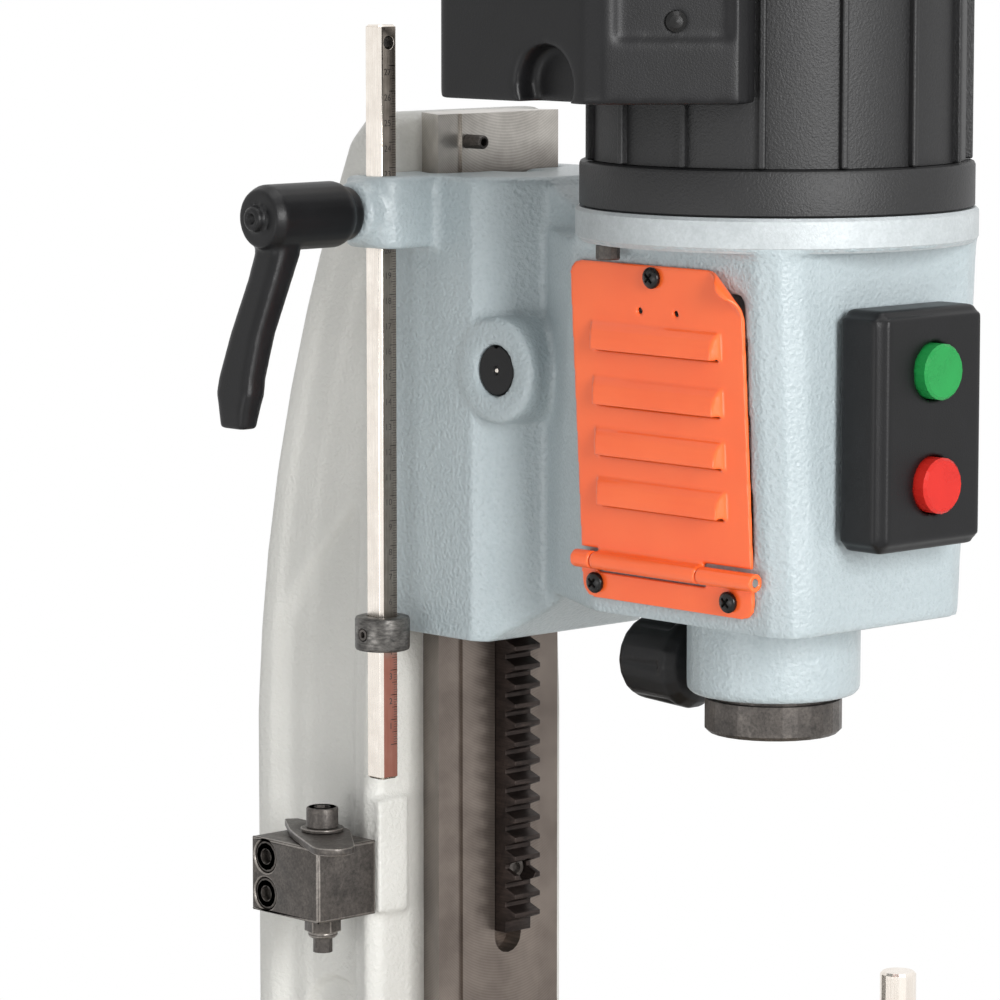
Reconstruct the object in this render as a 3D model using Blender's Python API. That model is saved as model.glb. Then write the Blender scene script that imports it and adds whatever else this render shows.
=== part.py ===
"""Bench hollow-chisel mortiser: a dovetail column with a rack, and a head that a feed lever lowers.

Metres, +Z up. The origin is the centre of the base's underside, -Y is the operator's side and +X is to
the operator's right.
"""

import math

import bmesh
import bpy
from mathutils import Matrix, Vector

# ---------------------------------------------------------------- driving dimensions
GAP = 0.0003  # between faces that touch
RUNNING_GAP = 0.0005  # between faces that slide
LAND_Y = 0.055  # the column's front land, from the base's centre

BASE_LENGTH = 0.390
BASE_WIDTH = 0.340
BASE_HEIGHT = 0.062
BASE_WALL = 0.012
BASE_CORNER = 0.026
BENCH_HOLE = 0.009
BENCH_HOLE_INSET = 0.024

TABLE_THICKNESS = 0.025
TABLE_WIDTH = 0.316
TABLE_FRONT_SETBACK = 0.006

FOOT_HALF_WIDTH = 0.078
FOOT_FRONT = 0.014  # ahead of the land
FOOT_BACK = 0.122  # behind the land
FOOT_THICKNESS = 0.020
COLUMN_TOP = 0.594
COLUMN_HALF_WIDTH = 0.054
COLUMN_TOP_HALF_WIDTH = 0.045
COLUMN_BODY_FRONT = 0.022  # behind the land
COLUMN_BODY_DEPTH = 0.0753
COLUMN_BACK_CURVE_START = 0.345
COLUMN_BACK_CURVE_END = 0.564
COLUMN_BACK_CURVE_RISE = 0.0425
COLUMN_CROWN = 0.012
COLUMN_WALL = 0.013
PANEL_DEPTH = 0.004
PANEL_TOP = 0.440
PANEL_BOTTOM = 0.125
PANEL_RIM = 0.014

LAND_HALF_WIDTH = 0.021
LAND_RISE = 0.0012
DOVETAIL_X = -0.004  # its middle, left of the rack
DOVETAIL_HALF_WIDTH = 0.033
DOVETAIL_ROOT_HALF_WIDTH = 0.023
DOVETAIL_BOTTOM = 0.100

RACK_WIDTH = 0.0140
RACK_BOTTOM = 0.2605
RACK_TOP = 0.548
RACK_BACK = 0.0080  # behind the land
RACK_SLOT_BOTTOM = 0.2505
RACK_SLOT_TOP = 0.557
GEAR_MODULE = 0.0025
PINION_TEETH = 26
RACK_PITCH_LINE = 0.0093  # ahead of the land
RACK_BACKLASH = 0.0002
PINION_HALF_WIDTH = 0.0080
RACK_SCREW_HEIGHTS = {"lower": 0.2865, "upper": 0.534}

STOP_PIN_RADIUS = 0.0028
STOP_PIN_X = -0.022
STOP_PIN_Z = 0.5830
STOP_PIN_REACH = 0.0108

STOP_BLOCK_WIDTH = 0.031
STOP_BLOCK_FRONT = 0.020  # behind the land
STOP_BLOCK_DEPTH = 0.041
STOP_BLOCK_BOTTOM = 0.2713
STOP_BLOCK_HEIGHT = 0.0305
STOP_PIVOT_X = -0.069
STOP_PIVOT_BACK = 0.036  # behind the land
STOP_BOLT_RADIUS = 0.004
STOP_PLATE_THICKNESS = 0.003
STOP_PLATE_REACH = 0.0298
STOP_PLATE_TIP_RADIUS = 0.0087
STOP_PLATE_HEEL_RADIUS = 0.0115
STOP_PLATE_TAIL = 0.0285
STOP_PLATE_REST_ANGLE = -123.0  # degrees from +X, swung clear of the rod and its collar

ROD_SIDE = 0.0095
ROD_LENGTH = 0.300
ROD_BOTTOM = 0.330
ROD_X = -0.062
ROD_BEHIND_LAND = 0.007
ROD_HOLE = 0.0054
COLLAR_RADIUS = 0.011
COLLAR_HEIGHT = 0.0135
COLLAR_BOTTOM = 0.382

HEAD_BACK = 0.019  # behind the land
HEAD_BOTTOM = 0.387
HEAD_TOP = 0.571
HEAD_HALF_WIDTH = 0.046
HEAD_CORNER = 0.032  # the following are ahead of the land
NECK_FRONT = 0.049
NECK_HALF_WIDTH = 0.025
SLOPE_START = 0.033  # the neck's underside rises from here
SLOPE_END = 0.0595
GIB_THICKNESS = 0.004
HOUSING_BACK = 0.097
HOUSING_FRONT = 0.206
HOUSING_BOTTOM = 0.408
HOUSING_TOP = 0.551
HOUSING_HALF_WIDTH = 0.058
HOUSING_BOTTOM_HALF_WIDTH = 0.0495
HOUSING_WALL = 0.010
SPINDLE_AHEAD = 0.149
FLANGE_RADIUS = 0.0765
FLANGE_TOP = 0.564
NOSE_RADIUS = 0.0335
NOSE_BOTTOM = 0.3770
SOCKET_RADIUS = 0.0095
BUSHING_RADIUS = 0.0265
BUSHING_BOTTOM = 0.3618
BUSHING_SPIGOT = 0.0155
KNOB_Z = 0.3830
CHUCK_ABOVE_FLOOR = 0.047  # the chuck's jaws above the housing's underside

EAR_TOP = 0.571
EAR_BOTTOM = 0.5425
EAR_OUT = 0.072
EAR_BOSS_LENGTH = 0.0070
LEVER_HUB_LENGTH = 0.0465
# how far down the arm, its half width, its thickness, how far it leans out and how far it leans back
LEVER_STATIONS = ((0.000, 0.0085, 0.0150, 0.000, 0.000), (0.014, 0.0082, 0.0135, 0.001, 0.000),
                  (0.024, 0.0080, 0.0128, 0.004, 0.001), (0.045, 0.0085, 0.0120, 0.010, 0.0045),
                  (0.062, 0.0095, 0.0112, 0.0135, 0.0068), (0.068, 0.0100, 0.0108, 0.0143, 0.0070),
                  (0.0735, 0.0085, 0.0104, 0.0150, 0.0068), (0.0815, 0.0072, 0.0085, 0.0155, 0.0070))
EAR_FRONT = 0.008
EAR_BACK = 0.017

SHAFT_Z = 0.496
SHAFT_RADIUS = 0.0098
BOSS_RADIUS = 0.021
BOSS_OUT = 0.047
FEED_HUB_RADIUS = 0.027
FEED_HUB_START = 0.072
FEED_HUB_END = 0.124
FEED_LEVER_RADIUS = 0.007
FEED_LEVER_LENGTH = 0.112
FEED_GRIP_RADIUS = 0.0155
FEED_GRIP_LENGTH = 0.090
FEED_LEVER_ANGLE = 122.0  # degrees from -Y, up and back

WINDOW_BACK = 0.112
WINDOW_FRONT = 0.186
WINDOW_BOTTOM = 0.437
WINDOW_TOP = 0.535
DOOR_BACK = 0.097
DOOR_FRONT = 0.188
DOOR_THICKNESS = 0.0015
DOOR_TOP = 0.544
DOOR_SCREW_DROP = 0.0045
HINGE_Z = 0.4290
LEAF_BOTTOM = 0.414
HINGE_RADIUS = 0.0035
HINGE_PIN_RADIUS = 0.0016
KNUCKLE_SPLITS = (0.106, 0.163)
LOUVRE_LIPS = (0.5108, 0.4896, 0.4700, 0.4510)
VENT_Z = 0.5265
VENT_BACKS = (0.134, 0.153)  # ahead of the land
VENT_RADIUS = 0.00125
LOUVRE_HEIGHT = 0.0105
LOUVRE_DEPTH = 0.0055
LOUVRE_BACK = 0.107
LOUVRE_FRONT = 0.177

END_BELL_RADIUS = 0.075
END_BELL_TOP = 0.5815
MOTOR_RADIUS = 0.067
MOTOR_FIN_RADIUS = 0.074
MOTOR_FINS = 28
MOTOR_TOP = 0.758
FAN_COVER_HEIGHT = 0.046
FAN_SLOTS = 8
BOX_OUT = 0.115
BOX_IN = 0.045
BOX_BACK = 0.082  # ahead of the land, as are the front and the tip of the slanting cover
BOX_FRONT = 0.166
BOX_TIP_OUT = 0.072
BOX_TIP_FRONT = 0.204
BOX_TIP_IN = 0.060
BOX_BOTTOM = 0.606
BOX_TOP = 0.722

FENCE_AHEAD = 0.120
FENCE_THICKNESS = 0.012
FENCE_LENGTH = 0.300
FENCE_HEIGHT = 0.050
FENCE_ROD_X = 0.108
FENCE_ROD_RADIUS = 0.008
FENCE_ROD_LENGTH = 0.215
FENCE_ROD_RISE = 0.014  # above the table
FENCE_BOSS_BACK = 0.085  # behind the land
FENCE_BOSS_LENGTH = 0.040
HOLD_POST_X = 0.132
HOLD_POST_TOP = 0.238
HOLD_FORK_Z = 0.150

GAS_X = 0.0665
GAS_BEHIND_LAND = 0.060
GAS_RADIUS = 0.010
GAS_ROD_RADIUS = 0.004
GAS_BOTTOM = 0.150
GAS_TOP = 0.352
GAS_LUG = 0.016
GAS_ARM_RADIUS = 0.0108

SWITCH_HALF_WIDTH = 0.029
SWITCH_DEPTH = 0.024
SWITCH_BOTTOM = 0.440
SWITCH_TOP = 0.530
BUTTON_RADIUS = 0.0105
BUTTON_TRAVEL = 0.003

SPINDLE_Y = LAND_Y - SPINDLE_AHEAD
ROD_Y = LAND_Y + ROD_BEHIND_LAND
SHAFT_Y = LAND_Y - RACK_PITCH_LINE - GEAR_MODULE * PINION_TEETH / 2
TABLE_TOP = BASE_HEIGHT + GAP + TABLE_THICKNESS


# ---------------------------------------------------------------- modelling helpers
def material(name, colour, roughness, metallic):
    """A Principled material; the colour is linear red, green and blue."""
    made = bpy.data.materials.new(name)
    made.use_nodes = True
    shader = made.node_tree.nodes["Principled BSDF"]
    shader.inputs["Base Color"].default_value = (*colour, 1.0)
    shader.inputs["Roughness"].default_value = roughness
    shader.inputs["Metallic"].default_value = metallic
    return made


def solid(name, mesh, smooth=30):
    """Turns an edited mesh into an object, with its faces out and its round sides shaded smooth."""
    bmesh.ops.recalc_face_normals(mesh, faces=mesh.faces)
    data = bpy.data.meshes.new(name)
    mesh.to_mesh(data)
    mesh.free()
    data.shade_smooth()
    data.set_sharp_from_angle(angle=math.radians(smooth))
    made = bpy.data.objects.new(name, data)
    bpy.context.scene.collection.objects.link(made)
    return made


def along(axis, a, b, height):
    """A point of a plan (a, b) at a height along the axis: (x, y), (y, z) or (x, z)."""
    return {"Z": (a, b, height), "X": (height, a, b), "Y": (a, height, b)}[axis]


def prism(name, outline, low, high, axis="Z", far_outline=None):
    """Joins an outline at one end of the axis to the same outline, or another, at the other end."""
    mesh = bmesh.new()
    near = [mesh.verts.new(along(axis, a, b, low)) for a, b in outline]
    far = [mesh.verts.new(along(axis, a, b, high)) for a, b in far_outline or outline]
    mesh.faces.new(near)
    mesh.faces.new(far)
    for i in range(len(near)):
        j = (i + 1) % len(near)
        mesh.faces.new((near[i], near[j], far[j], far[i]))
    return solid(name, mesh)


def block(name, low, high, bevel=0.0, segments=1):
    """A box between two corners, with every edge bevelled by the same width."""
    mesh = bmesh.new()
    bmesh.ops.create_cube(mesh, size=1.0)
    size = Vector(high) - Vector(low)
    middle = (Vector(high) + Vector(low)) / 2
    for vert in mesh.verts:
        vert.co = Vector([vert.co[i] * size[i] + middle[i] for i in range(3)])
    if bevel:
        bmesh.ops.bevel(mesh, geom=mesh.edges[:], offset=bevel, segments=segments, affect="EDGES")
    return solid(name, mesh)


def turned(name, profile, centre, axis="Z", steps=32, ring=False):
    """Turns (radius, height) points about an axis through the centre; a ring's profile closes on itself."""
    mesh = bmesh.new()
    loops = []
    for radius, height in profile:
        turns = 1 if radius == 0 else steps
        loop = []
        for i in range(turns):
            angle = math.tau * i / steps
            point = along(axis, radius * math.cos(angle), radius * math.sin(angle), height)
            loop.append(mesh.verts.new(Vector(point) + Vector(centre)))
        loops.append(loop)
    pairs = list(zip(loops, loops[1:]))
    if ring:
        pairs.append((loops[-1], loops[0]))
    else:
        for end in (loops[0], loops[-1]):
            if len(end) > 1:
                mesh.faces.new(end)
    for lower, upper in pairs:
        for i in range(steps):
            j = (i + 1) % steps
            corners = [lower[i % len(lower)], lower[j % len(lower)]]
            corners += [upper[j % len(upper)], upper[i % len(upper)]]
            mesh.faces.new(list(dict.fromkeys(corners)))
    return solid(name, mesh)


def cylinder(name, radius, centre, low, high, axis="Z", steps=32, chamfer=0.0):
    """A round bar; low and high are measured from the centre along the axis."""
    profile = [(radius, low), (radius, high)]
    if chamfer:
        profile = [(radius - chamfer, low), (radius, low + chamfer)]
        profile += [(radius, high - chamfer), (radius - chamfer, high)]
    return turned(name, profile, centre, axis, steps)


def boolean(target, tool, operation):
    """Applies one exact Boolean to the target and removes the tool."""
    change = target.modifiers.new(operation, "BOOLEAN")
    change.operation = operation
    change.solver = "EXACT"
    change.object = tool
    graph = bpy.context.evaluated_depsgraph_get()
    data = bpy.data.meshes.new_from_object(target.evaluated_get(graph))
    target.modifiers.clear()
    target.data = data
    weld(data)
    bpy.data.objects.remove(tool)


def weld(data, distance=0.000002):
    """Merges the near-double points that a cut can leave."""
    mesh = bmesh.new()
    mesh.from_mesh(data)
    bmesh.ops.remove_doubles(mesh, verts=mesh.verts, dist=distance)
    bmesh.ops.dissolve_degenerate(mesh, edges=mesh.edges, dist=distance)
    mesh.to_mesh(data)
    mesh.free()


def cut(target, *tools):
    """Takes the tool away from the target."""
    for tool in tools:
        boolean(target, tool, "DIFFERENCE")


def join(target, *tools):
    """Adds the tool to the target."""
    for tool in tools:
        boolean(target, tool, "UNION")


def arc(centre, radius, start, end, steps):
    """Points of a circle's arc, in degrees."""
    angles = [math.radians(start + (end - start) * i / steps) for i in range(steps + 1)]
    return [(centre[0] + radius * math.cos(a), centre[1] + radius * math.sin(a)) for a in angles]


def rounded(low, high, radius, steps=3):
    """The outline of a rectangle with round corners."""
    corners = ((high[0], high[1], 0), (low[0], high[1], 90), (low[0], low[1], 180), (high[0], low[1], 270))
    outline = []
    for x, y, start in corners:
        inner = (x - math.copysign(radius, x - low[0] - (high[0] - low[0]) / 2),
                 y - math.copysign(radius, y - low[1] - (high[1] - low[1]) / 2))
        outline += arc(inner, radius, start, start + 90, steps)
    return outline


def mirrored(outline):
    """Adds the other side of an outline that runs from the front to the back at +X."""
    return outline + [(-x, y) for x, y in reversed(outline)]


def turn(target, centre, angle, axis):
    """Turns a mesh about a point, in degrees."""
    there = Matrix.Translation(centre)
    target.data.transform(there @ Matrix.Rotation(math.radians(angle), 4, axis) @ there.inverted())


def socket_head(name, radius, centre, seat, axis="Z", out=1, length=0.0, shank=0.0, height=None):
    """A socket-head screw: its head stands on the seat, and out gives the head's side of the axis."""
    height = radius * 1.15 if height is None else height
    chamfer = radius * 0.12
    profile = [(radius, 0), (radius, height - chamfer), (radius - chamfer, height)]
    recess = radius * 0.52
    if length:
        profile = [(shank, -length), (shank, 0)] + profile
    profile += [(recess, height), (recess, height * 0.45)]
    profile = [(r, seat + out * h) for r, h in profile]
    return turned(name, profile, centre, axis, 12)


# ---------------------------------------------------------------- joint pivots
def pivot(name, place, parent=None):
    """An empty on a joint's axis; what the joint moves is parented to it."""
    made = bpy.data.objects.new(name, None)
    made.empty_display_size = 0.02
    bpy.context.scene.collection.objects.link(made)
    made.parent = parent
    made["place"] = place
    made.location = Vector(place) - Vector(parent["place"] if parent else (0, 0, 0))
    return made


def carry(parent, *pieces):
    """Parents pieces to a pivot, where they already are."""
    for piece in pieces:
        piece.parent = parent
        piece.location = Vector(piece.location) - Vector(parent["place"])


def paint(look, *pieces):
    for piece in pieces:
        piece.data.materials.clear()
        own = look.copy()
        own.name = f"{look.name}_{piece.name}"
        piece.data.materials.append(own)


# ---------------------------------------------------------------- base and table
def make_base():
    """The hollow cast base, with its bench holes, its column seat and the bores for the fence's rods."""
    half_width, half_length = BASE_WIDTH / 2, BASE_LENGTH / 2
    foot = rounded((-half_width, -half_length), (half_width, half_length), BASE_CORNER, 3)
    edge = 0.006
    brow = rounded((-half_width + edge, -half_length + edge), (half_width - edge, half_length - edge),
                   BASE_CORNER - edge, 3)
    base = prism("base_casting", foot, 0.0, BASE_HEIGHT - edge)
    join(base, prism("brow", foot, BASE_HEIGHT - edge - GAP, BASE_HEIGHT, far_outline=brow))
    inner = BASE_WIDTH / 2 - BASE_WALL
    inner_length = BASE_LENGTH / 2 - BASE_WALL
    corner = BENCH_HOLE_INSET * 1.6
    hollow = [(inner, -inner_length + corner), (inner, inner_length - corner),
              (inner - corner, inner_length), (-inner + corner, inner_length),
              (-inner, inner_length - corner), (-inner, -inner_length + corner),
              (-inner + corner, -inner_length), (inner - corner, -inner_length)]
    cut(base, prism("hollow", hollow, -0.01, BASE_HEIGHT - BASE_WALL))
    for side in (-1, 1):
        for end in (-1, 1):
            place = (side * (half_width - BENCH_HOLE_INSET), end * (half_length - BENCH_HOLE_INSET), 0)
            cut(base, cylinder("hole", BENCH_HOLE / 2, place, -0.01, BASE_HEIGHT + 0.01, steps=12))
        boss_y = LAND_Y + FENCE_BOSS_BACK
        rod_z = TABLE_TOP + FENCE_ROD_RISE
        wide = FENCE_ROD_RADIUS + 0.008
        boss = block("boss", (side * FENCE_ROD_X - wide, boss_y, BASE_HEIGHT - 0.004),
                     (side * FENCE_ROD_X + wide, boss_y + FENCE_BOSS_LENGTH, rod_z + wide), 0.003)
        join(base, boss)
        bore = cylinder("bore", FENCE_ROD_RADIUS + RUNNING_GAP, (side * FENCE_ROD_X, 0, rod_z),
                        boss_y - 0.01, boss_y + FENCE_BOSS_LENGTH + 0.01, "Y", 16)
        cut(base, bore)
    lock_y = boss_y + FENCE_BOSS_LENGTH / 2
    cut(base, cylinder("lock_hole", 0.0035, (FENCE_ROD_X, lock_y, 0), rod_z, rod_z + 0.05, steps=16))
    return base


def make_table():
    """The board that the work lies on."""
    half = TABLE_WIDTH / 2
    front = -BASE_LENGTH / 2 + TABLE_FRONT_SETBACK
    back = LAND_Y - FOOT_FRONT - 0.001
    low = BASE_HEIGHT + GAP
    outline = rounded((-half, front), (half, back), 0.008, 3)
    return prism("table_board", outline, low, TABLE_TOP)


def make_fence():
    """The fence, its two rods, its lock knob and the post that carries the hold-down."""
    front = LAND_Y - FENCE_AHEAD
    back = front + FENCE_THICKNESS
    low = TABLE_TOP + GAP
    fence = block("fence", (-FENCE_LENGTH / 2, front, low), (FENCE_LENGTH / 2, back, low + FENCE_HEIGHT),
                  0.0015)
    rod_z = TABLE_TOP + FENCE_ROD_RISE
    parts = []
    for name, side in (("fence_rod_left", -1), ("fence_rod_right", 1)):
        parts.append(cylinder(name, FENCE_ROD_RADIUS, (side * FENCE_ROD_X, 0, rod_z),
                              back + GAP, back + FENCE_ROD_LENGTH, "Y", 16, 0.001))
    ear = block("ear", (HOLD_POST_X - 0.013, back - 0.001, low),
                (HOLD_POST_X + 0.013, back + 0.024, low + 0.030),
                0.002)
    join(fence, ear)
    post_y = back + 0.0125
    cut(fence, cylinder("post_hole", 0.0075 + GAP, (HOLD_POST_X, post_y, 0), low + 0.006, low + 0.08,
                        steps=16))
    post = cylinder("hold_down_post", 0.0075, (HOLD_POST_X, post_y, 0), low + 0.006 + GAP, HOLD_POST_TOP,
                    steps=16, chamfer=0.001)
    return fence, parts, post, post_y


def make_hold_down(post_y):
    """A clamp on the post, with an arm to a fork that straddles the chisel's axis."""
    thick = 0.012
    tine_gap, tine, tine_length = 0.016, 0.011, 0.052
    z = HOLD_FORK_Z
    clamp = block("hold_down_fork", (HOLD_POST_X - 0.016, post_y - 0.016, z),
                  (HOLD_POST_X + 0.016, post_y + 0.016, z + 0.024), 0.002)
    root_y = SPINDLE_Y + tine_length / 2
    arm = [(HOLD_POST_X - 0.010, post_y - 0.012), (HOLD_POST_X - 0.010, post_y + 0.010),
           (-tine_gap - tine, root_y + 0.016), (-tine_gap - tine, root_y), (tine_gap + tine, root_y)]
    join(clamp, prism("arm", arm, z + 0.001, z + 0.001 + thick))
    for side in (-1, 1):
        low, high = sorted((side * tine_gap, side * (tine_gap + tine)))
        join(clamp, block("tine", (low, SPINDLE_Y - tine_length / 2, z + 0.0015),
                          (high, root_y + 0.008, z + 0.0005 + thick)))
    cut(clamp, cylinder("bore", 0.0075 + RUNNING_GAP, (HOLD_POST_X, post_y, 0), z - 0.01, z + 0.05,
                        steps=16))
    cut(clamp, cylinder("lock_hole", 0.0033, (0, post_y, z + 0.012), HOLD_POST_X, HOLD_POST_X + 0.03, "X",
                        16))
    knob = knob_with_stud("hold_down_knob", 0.014, 0.017, 0.003, 0.0075,
                          (HOLD_POST_X + 0.016, post_y, z + 0.012), "X", 1)
    return clamp, knob


def knob_with_stud(name, radius, length, stud, reach, seat, axis, out):
    """A fluted knob whose face sits on the seat, with its stud going the other way."""
    shoulder = radius * 0.62
    profile = [(stud, -reach), (stud, GAP), (shoulder, GAP), (shoulder, length * 0.28),
               (radius, length * 0.36), (radius, length * 0.90), (radius * 0.90, length)]
    profile = [(r, out * h) for r, h in profile]
    knob = turned(name, profile, seat, axis, 18)
    for i in range(5):
        angle = math.tau * i / 5
        a, b = radius * 1.12 * math.cos(angle), radius * 1.12 * math.sin(angle)
        flute = cylinder("flute", radius * 0.24, Vector(seat) + Vector(along(axis, a, b, 0)),
                         *sorted((out * length * 0.30, out * length * 1.1)), axis, 8)
        cut(knob, flute)
    return knob


# ---------------------------------------------------------------- column
def flank_half_width(y, gap=0.0):
    """Half the dovetail's width, at a distance behind the land."""
    slope = (DOVETAIL_HALF_WIDTH - DOVETAIL_ROOT_HALF_WIDTH) / (COLUMN_BODY_FRONT - LAND_RISE)
    return DOVETAIL_HALF_WIDTH - slope * (y - LAND_RISE) + gap * math.sqrt(1 + slope ** 2)


def dovetail_outline(back, gap=0.0):
    """The plan of the dovetail and its raised land, down to a distance behind the land."""
    land = LAND_HALF_WIDTH + gap
    shoulder = LAND_RISE - gap
    half = [(land, LAND_Y - gap), (land, LAND_Y + shoulder),
            (flank_half_width(shoulder, gap), LAND_Y + shoulder),
            (flank_half_width(back, gap), LAND_Y + back)]
    return [(x + DOVETAIL_X, y) for x, y in mirrored(half)]


def column_back(z):
    """How far behind the land the column's back is, at a height."""
    full = COLUMN_BODY_FRONT + COLUMN_BODY_DEPTH
    if z <= COLUMN_BACK_CURVE_START:
        return full
    share = (z - COLUMN_BACK_CURVE_START) / (COLUMN_BACK_CURVE_END - COLUMN_BACK_CURVE_START)
    return full - COLUMN_BACK_CURVE_RISE * share ** 2


def side_outline(bottom, top, inset=0.0, crown=0.0, steps=7):
    """The side view (y, z) of the column between two heights, moved in from its front and back."""
    low = max(bottom, COLUMN_BACK_CURVE_START)
    heights = [low + (top - crown - low) * i / steps for i in range(steps + 1)]
    if bottom < COLUMN_BACK_CURVE_START:
        heights = [bottom] + heights
    outline = [(LAND_Y + column_back(z) - inset, z) for z in heights]
    front = LAND_Y + COLUMN_BODY_FRONT + inset
    if crown:
        outline.append((outline[-1][0] - crown, top))
    return outline + [(front, top), (front, bottom)]


def taper_column(piece):
    """Narrows what lies above the foot of the back curve, as the column does."""
    mesh = bmesh.new()
    mesh.from_mesh(piece.data)
    everything = mesh.verts[:] + mesh.edges[:] + mesh.faces[:]
    bmesh.ops.bisect_plane(mesh, geom=everything, plane_co=(0, 0, COLUMN_BACK_CURVE_START),
                           plane_no=(0, 0, 1))
    for vert in mesh.verts:
        share = (vert.co.z - COLUMN_BACK_CURVE_START) / (COLUMN_TOP - COLUMN_BACK_CURVE_START)
        vert.co.x *= 1 - max(share, 0) * (1 - COLUMN_TOP_HALF_WIDTH / COLUMN_HALF_WIDTH)
    bmesh.ops.triangulate(mesh, faces=mesh.faces)
    mesh.to_mesh(piece.data)
    mesh.free()


def make_column():
    """The hollow column: a curved back, a sunk panel on each side, the foot and the dovetail in front."""
    low = BASE_HEIGHT + GAP
    outline = side_outline(low, COLUMN_TOP, crown=COLUMN_CROWN)
    column = prism("column_casting", outline, -COLUMN_HALF_WIDTH, COLUMN_HALF_WIDTH, "X")
    edges = 0.004
    soften = column.modifiers.new("edges", "BEVEL")
    soften.width = edges
    soften.segments = 1
    soften.limit_method = "ANGLE"
    soften.angle_limit = math.radians(50)
    graph = bpy.context.evaluated_depsgraph_get()
    data = bpy.data.meshes.new_from_object(column.evaluated_get(graph))
    column.modifiers.clear()
    column.data = data
    spare = 0.002
    for side in (-1, 1):
        ends = {side * (COLUMN_HALF_WIDTH - PANEL_DEPTH): panel_outline(PANEL_DEPTH),
                side * (COLUMN_HALF_WIDTH + spare): panel_outline(-spare)}
        low_x, high_x = sorted(ends)
        cut(column, prism("panel", ends[low_x], low_x, high_x, "X", far_outline=ends[high_x]))
        reach = (side * (COLUMN_HALF_WIDTH - PANEL_DEPTH * 2), side * (COLUMN_HALF_WIDTH + spare))
        cut(column, prism("pocket", pocket_outline(), *sorted(reach), "X"))
    taper_column(column)
    dovetail = prism("dovetail", dovetail_outline(COLUMN_BODY_FRONT + 0.001), DOVETAIL_BOTTOM, COLUMN_TOP)
    join(column, dovetail)
    cut(column, rack_slot())
    cut_column_holes(column)
    foot = rounded((-FOOT_HALF_WIDTH, LAND_Y - FOOT_FRONT), (FOOT_HALF_WIDTH, LAND_Y + FOOT_BACK), 0.010, 3)
    join(column, prism("foot", foot, low, low + FOOT_THICKNESS))
    lug_x = GAS_X
    lug_y = LAND_Y + GAS_BEHIND_LAND
    lug_radius = GAS_RADIUS + 0.002
    root = COLUMN_HALF_WIDTH - PANEL_DEPTH * 2 - 0.002
    lug = prism("gas_lug", [(root, lug_y + lug_radius + 0.004), (root, lug_y - lug_radius - 0.004)]
                + arc((lug_x, lug_y), lug_radius, 270, 450, 6), GAS_BOTTOM - GAS_LUG, GAS_BOTTOM)
    join(column, lug)
    core = rounded((-COLUMN_HALF_WIDTH + COLUMN_WALL, LAND_Y + COLUMN_BODY_FRONT + COLUMN_WALL),
                   (COLUMN_HALF_WIDTH - COLUMN_WALL, LAND_Y + column_back(0) - COLUMN_WALL), 0.006, 2)
    cut(column, prism("core", core, low - 0.01, COLUMN_BACK_CURVE_START + 0.05))
    for side in (-1, 1):
        cut(column, cylinder("bolt_hole", 0.0055, column_bolt_place(side), -0.05, 0.05, steps=12))
    return column


def panel_outline(inset=0.0):
    """The sunk panel of the column's side; it narrows at the top along a slanting edge."""
    front = LAND_Y + COLUMN_BODY_FRONT + PANEL_RIM + inset
    back = LAND_Y + column_back(0) - PANEL_RIM - inset
    return [(back, PANEL_BOTTOM + inset), (back, PANEL_TOP - 0.055 - inset),
            (back - 0.004, PANEL_TOP - 0.045 - inset), (front, PANEL_TOP - inset),
            (front, PANEL_BOTTOM + inset)]


def pocket_outline():
    """The arched recess low in the column's side, below the stop block."""
    centre = (LAND_Y + COLUMN_BODY_FRONT + 0.030, STOP_BLOCK_BOTTOM - 0.050)
    radius = 0.018
    return [(centre[0] - radius, 0.150)] + [(centre[0] + radius, 0.150)] + arc(centre, radius, 0, 180, 8)


def rack_slot():
    """A milled slot with round ends, for the rack."""
    half = RACK_WIDTH / 2 + GAP
    outline = arc((0, RACK_SLOT_BOTTOM + half), half, 180, 360, 8)
    outline += arc((0, RACK_SLOT_TOP - half), half, 0, 180, 8)
    return prism("slot", outline, LAND_Y - 0.02, LAND_Y + RACK_BACK + GAP, "Y")


def cut_column_holes(column):
    """Clearance and tapped holes for the column's bolts, the stop block's screws and the rack's screws."""
    for z in RACK_SCREW_HEIGHTS.values():
        cut(column, cylinder("screw_hole", 0.0026, (0, 0, z), LAND_Y + RACK_BACK - 0.001, LAND_Y + 0.030,
                             "Y", 10))
    cut(column, cylinder("pin_hole", STOP_PIN_RADIUS + 0.0001, (STOP_PIN_X, 0, STOP_PIN_Z),
                         LAND_Y - 0.01, LAND_Y + 0.022, "Y", 16))
    for z in stop_screw_heights().values():
        cut(column, cylinder("stop_screw_hole", 0.0041, (0, stop_screw_y(), z), -COLUMN_HALF_WIDTH - 0.01,
                             -COLUMN_HALF_WIDTH + 0.030, "X", 16))


def column_bolt_place(side):
    """The middle of a column bolt; side is -1 for the left."""
    return (side * (FOOT_HALF_WIDTH - 0.013), LAND_Y + FOOT_BACK - 0.014, BASE_HEIGHT + GAP + FOOT_THICKNESS)


def make_column_bolts():
    """The two bolts that hold the column's foot to the base."""
    bolts = []
    for name, side in (("column_bolt_left", -1), ("column_bolt_right", 1)):
        x, y, z = column_bolt_place(side)
        bolts.append(socket_head(name, 0.008, (x, y, z), GAP, length=FOOT_THICKNESS - 0.001, shank=0.005))
    return bolts


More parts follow.
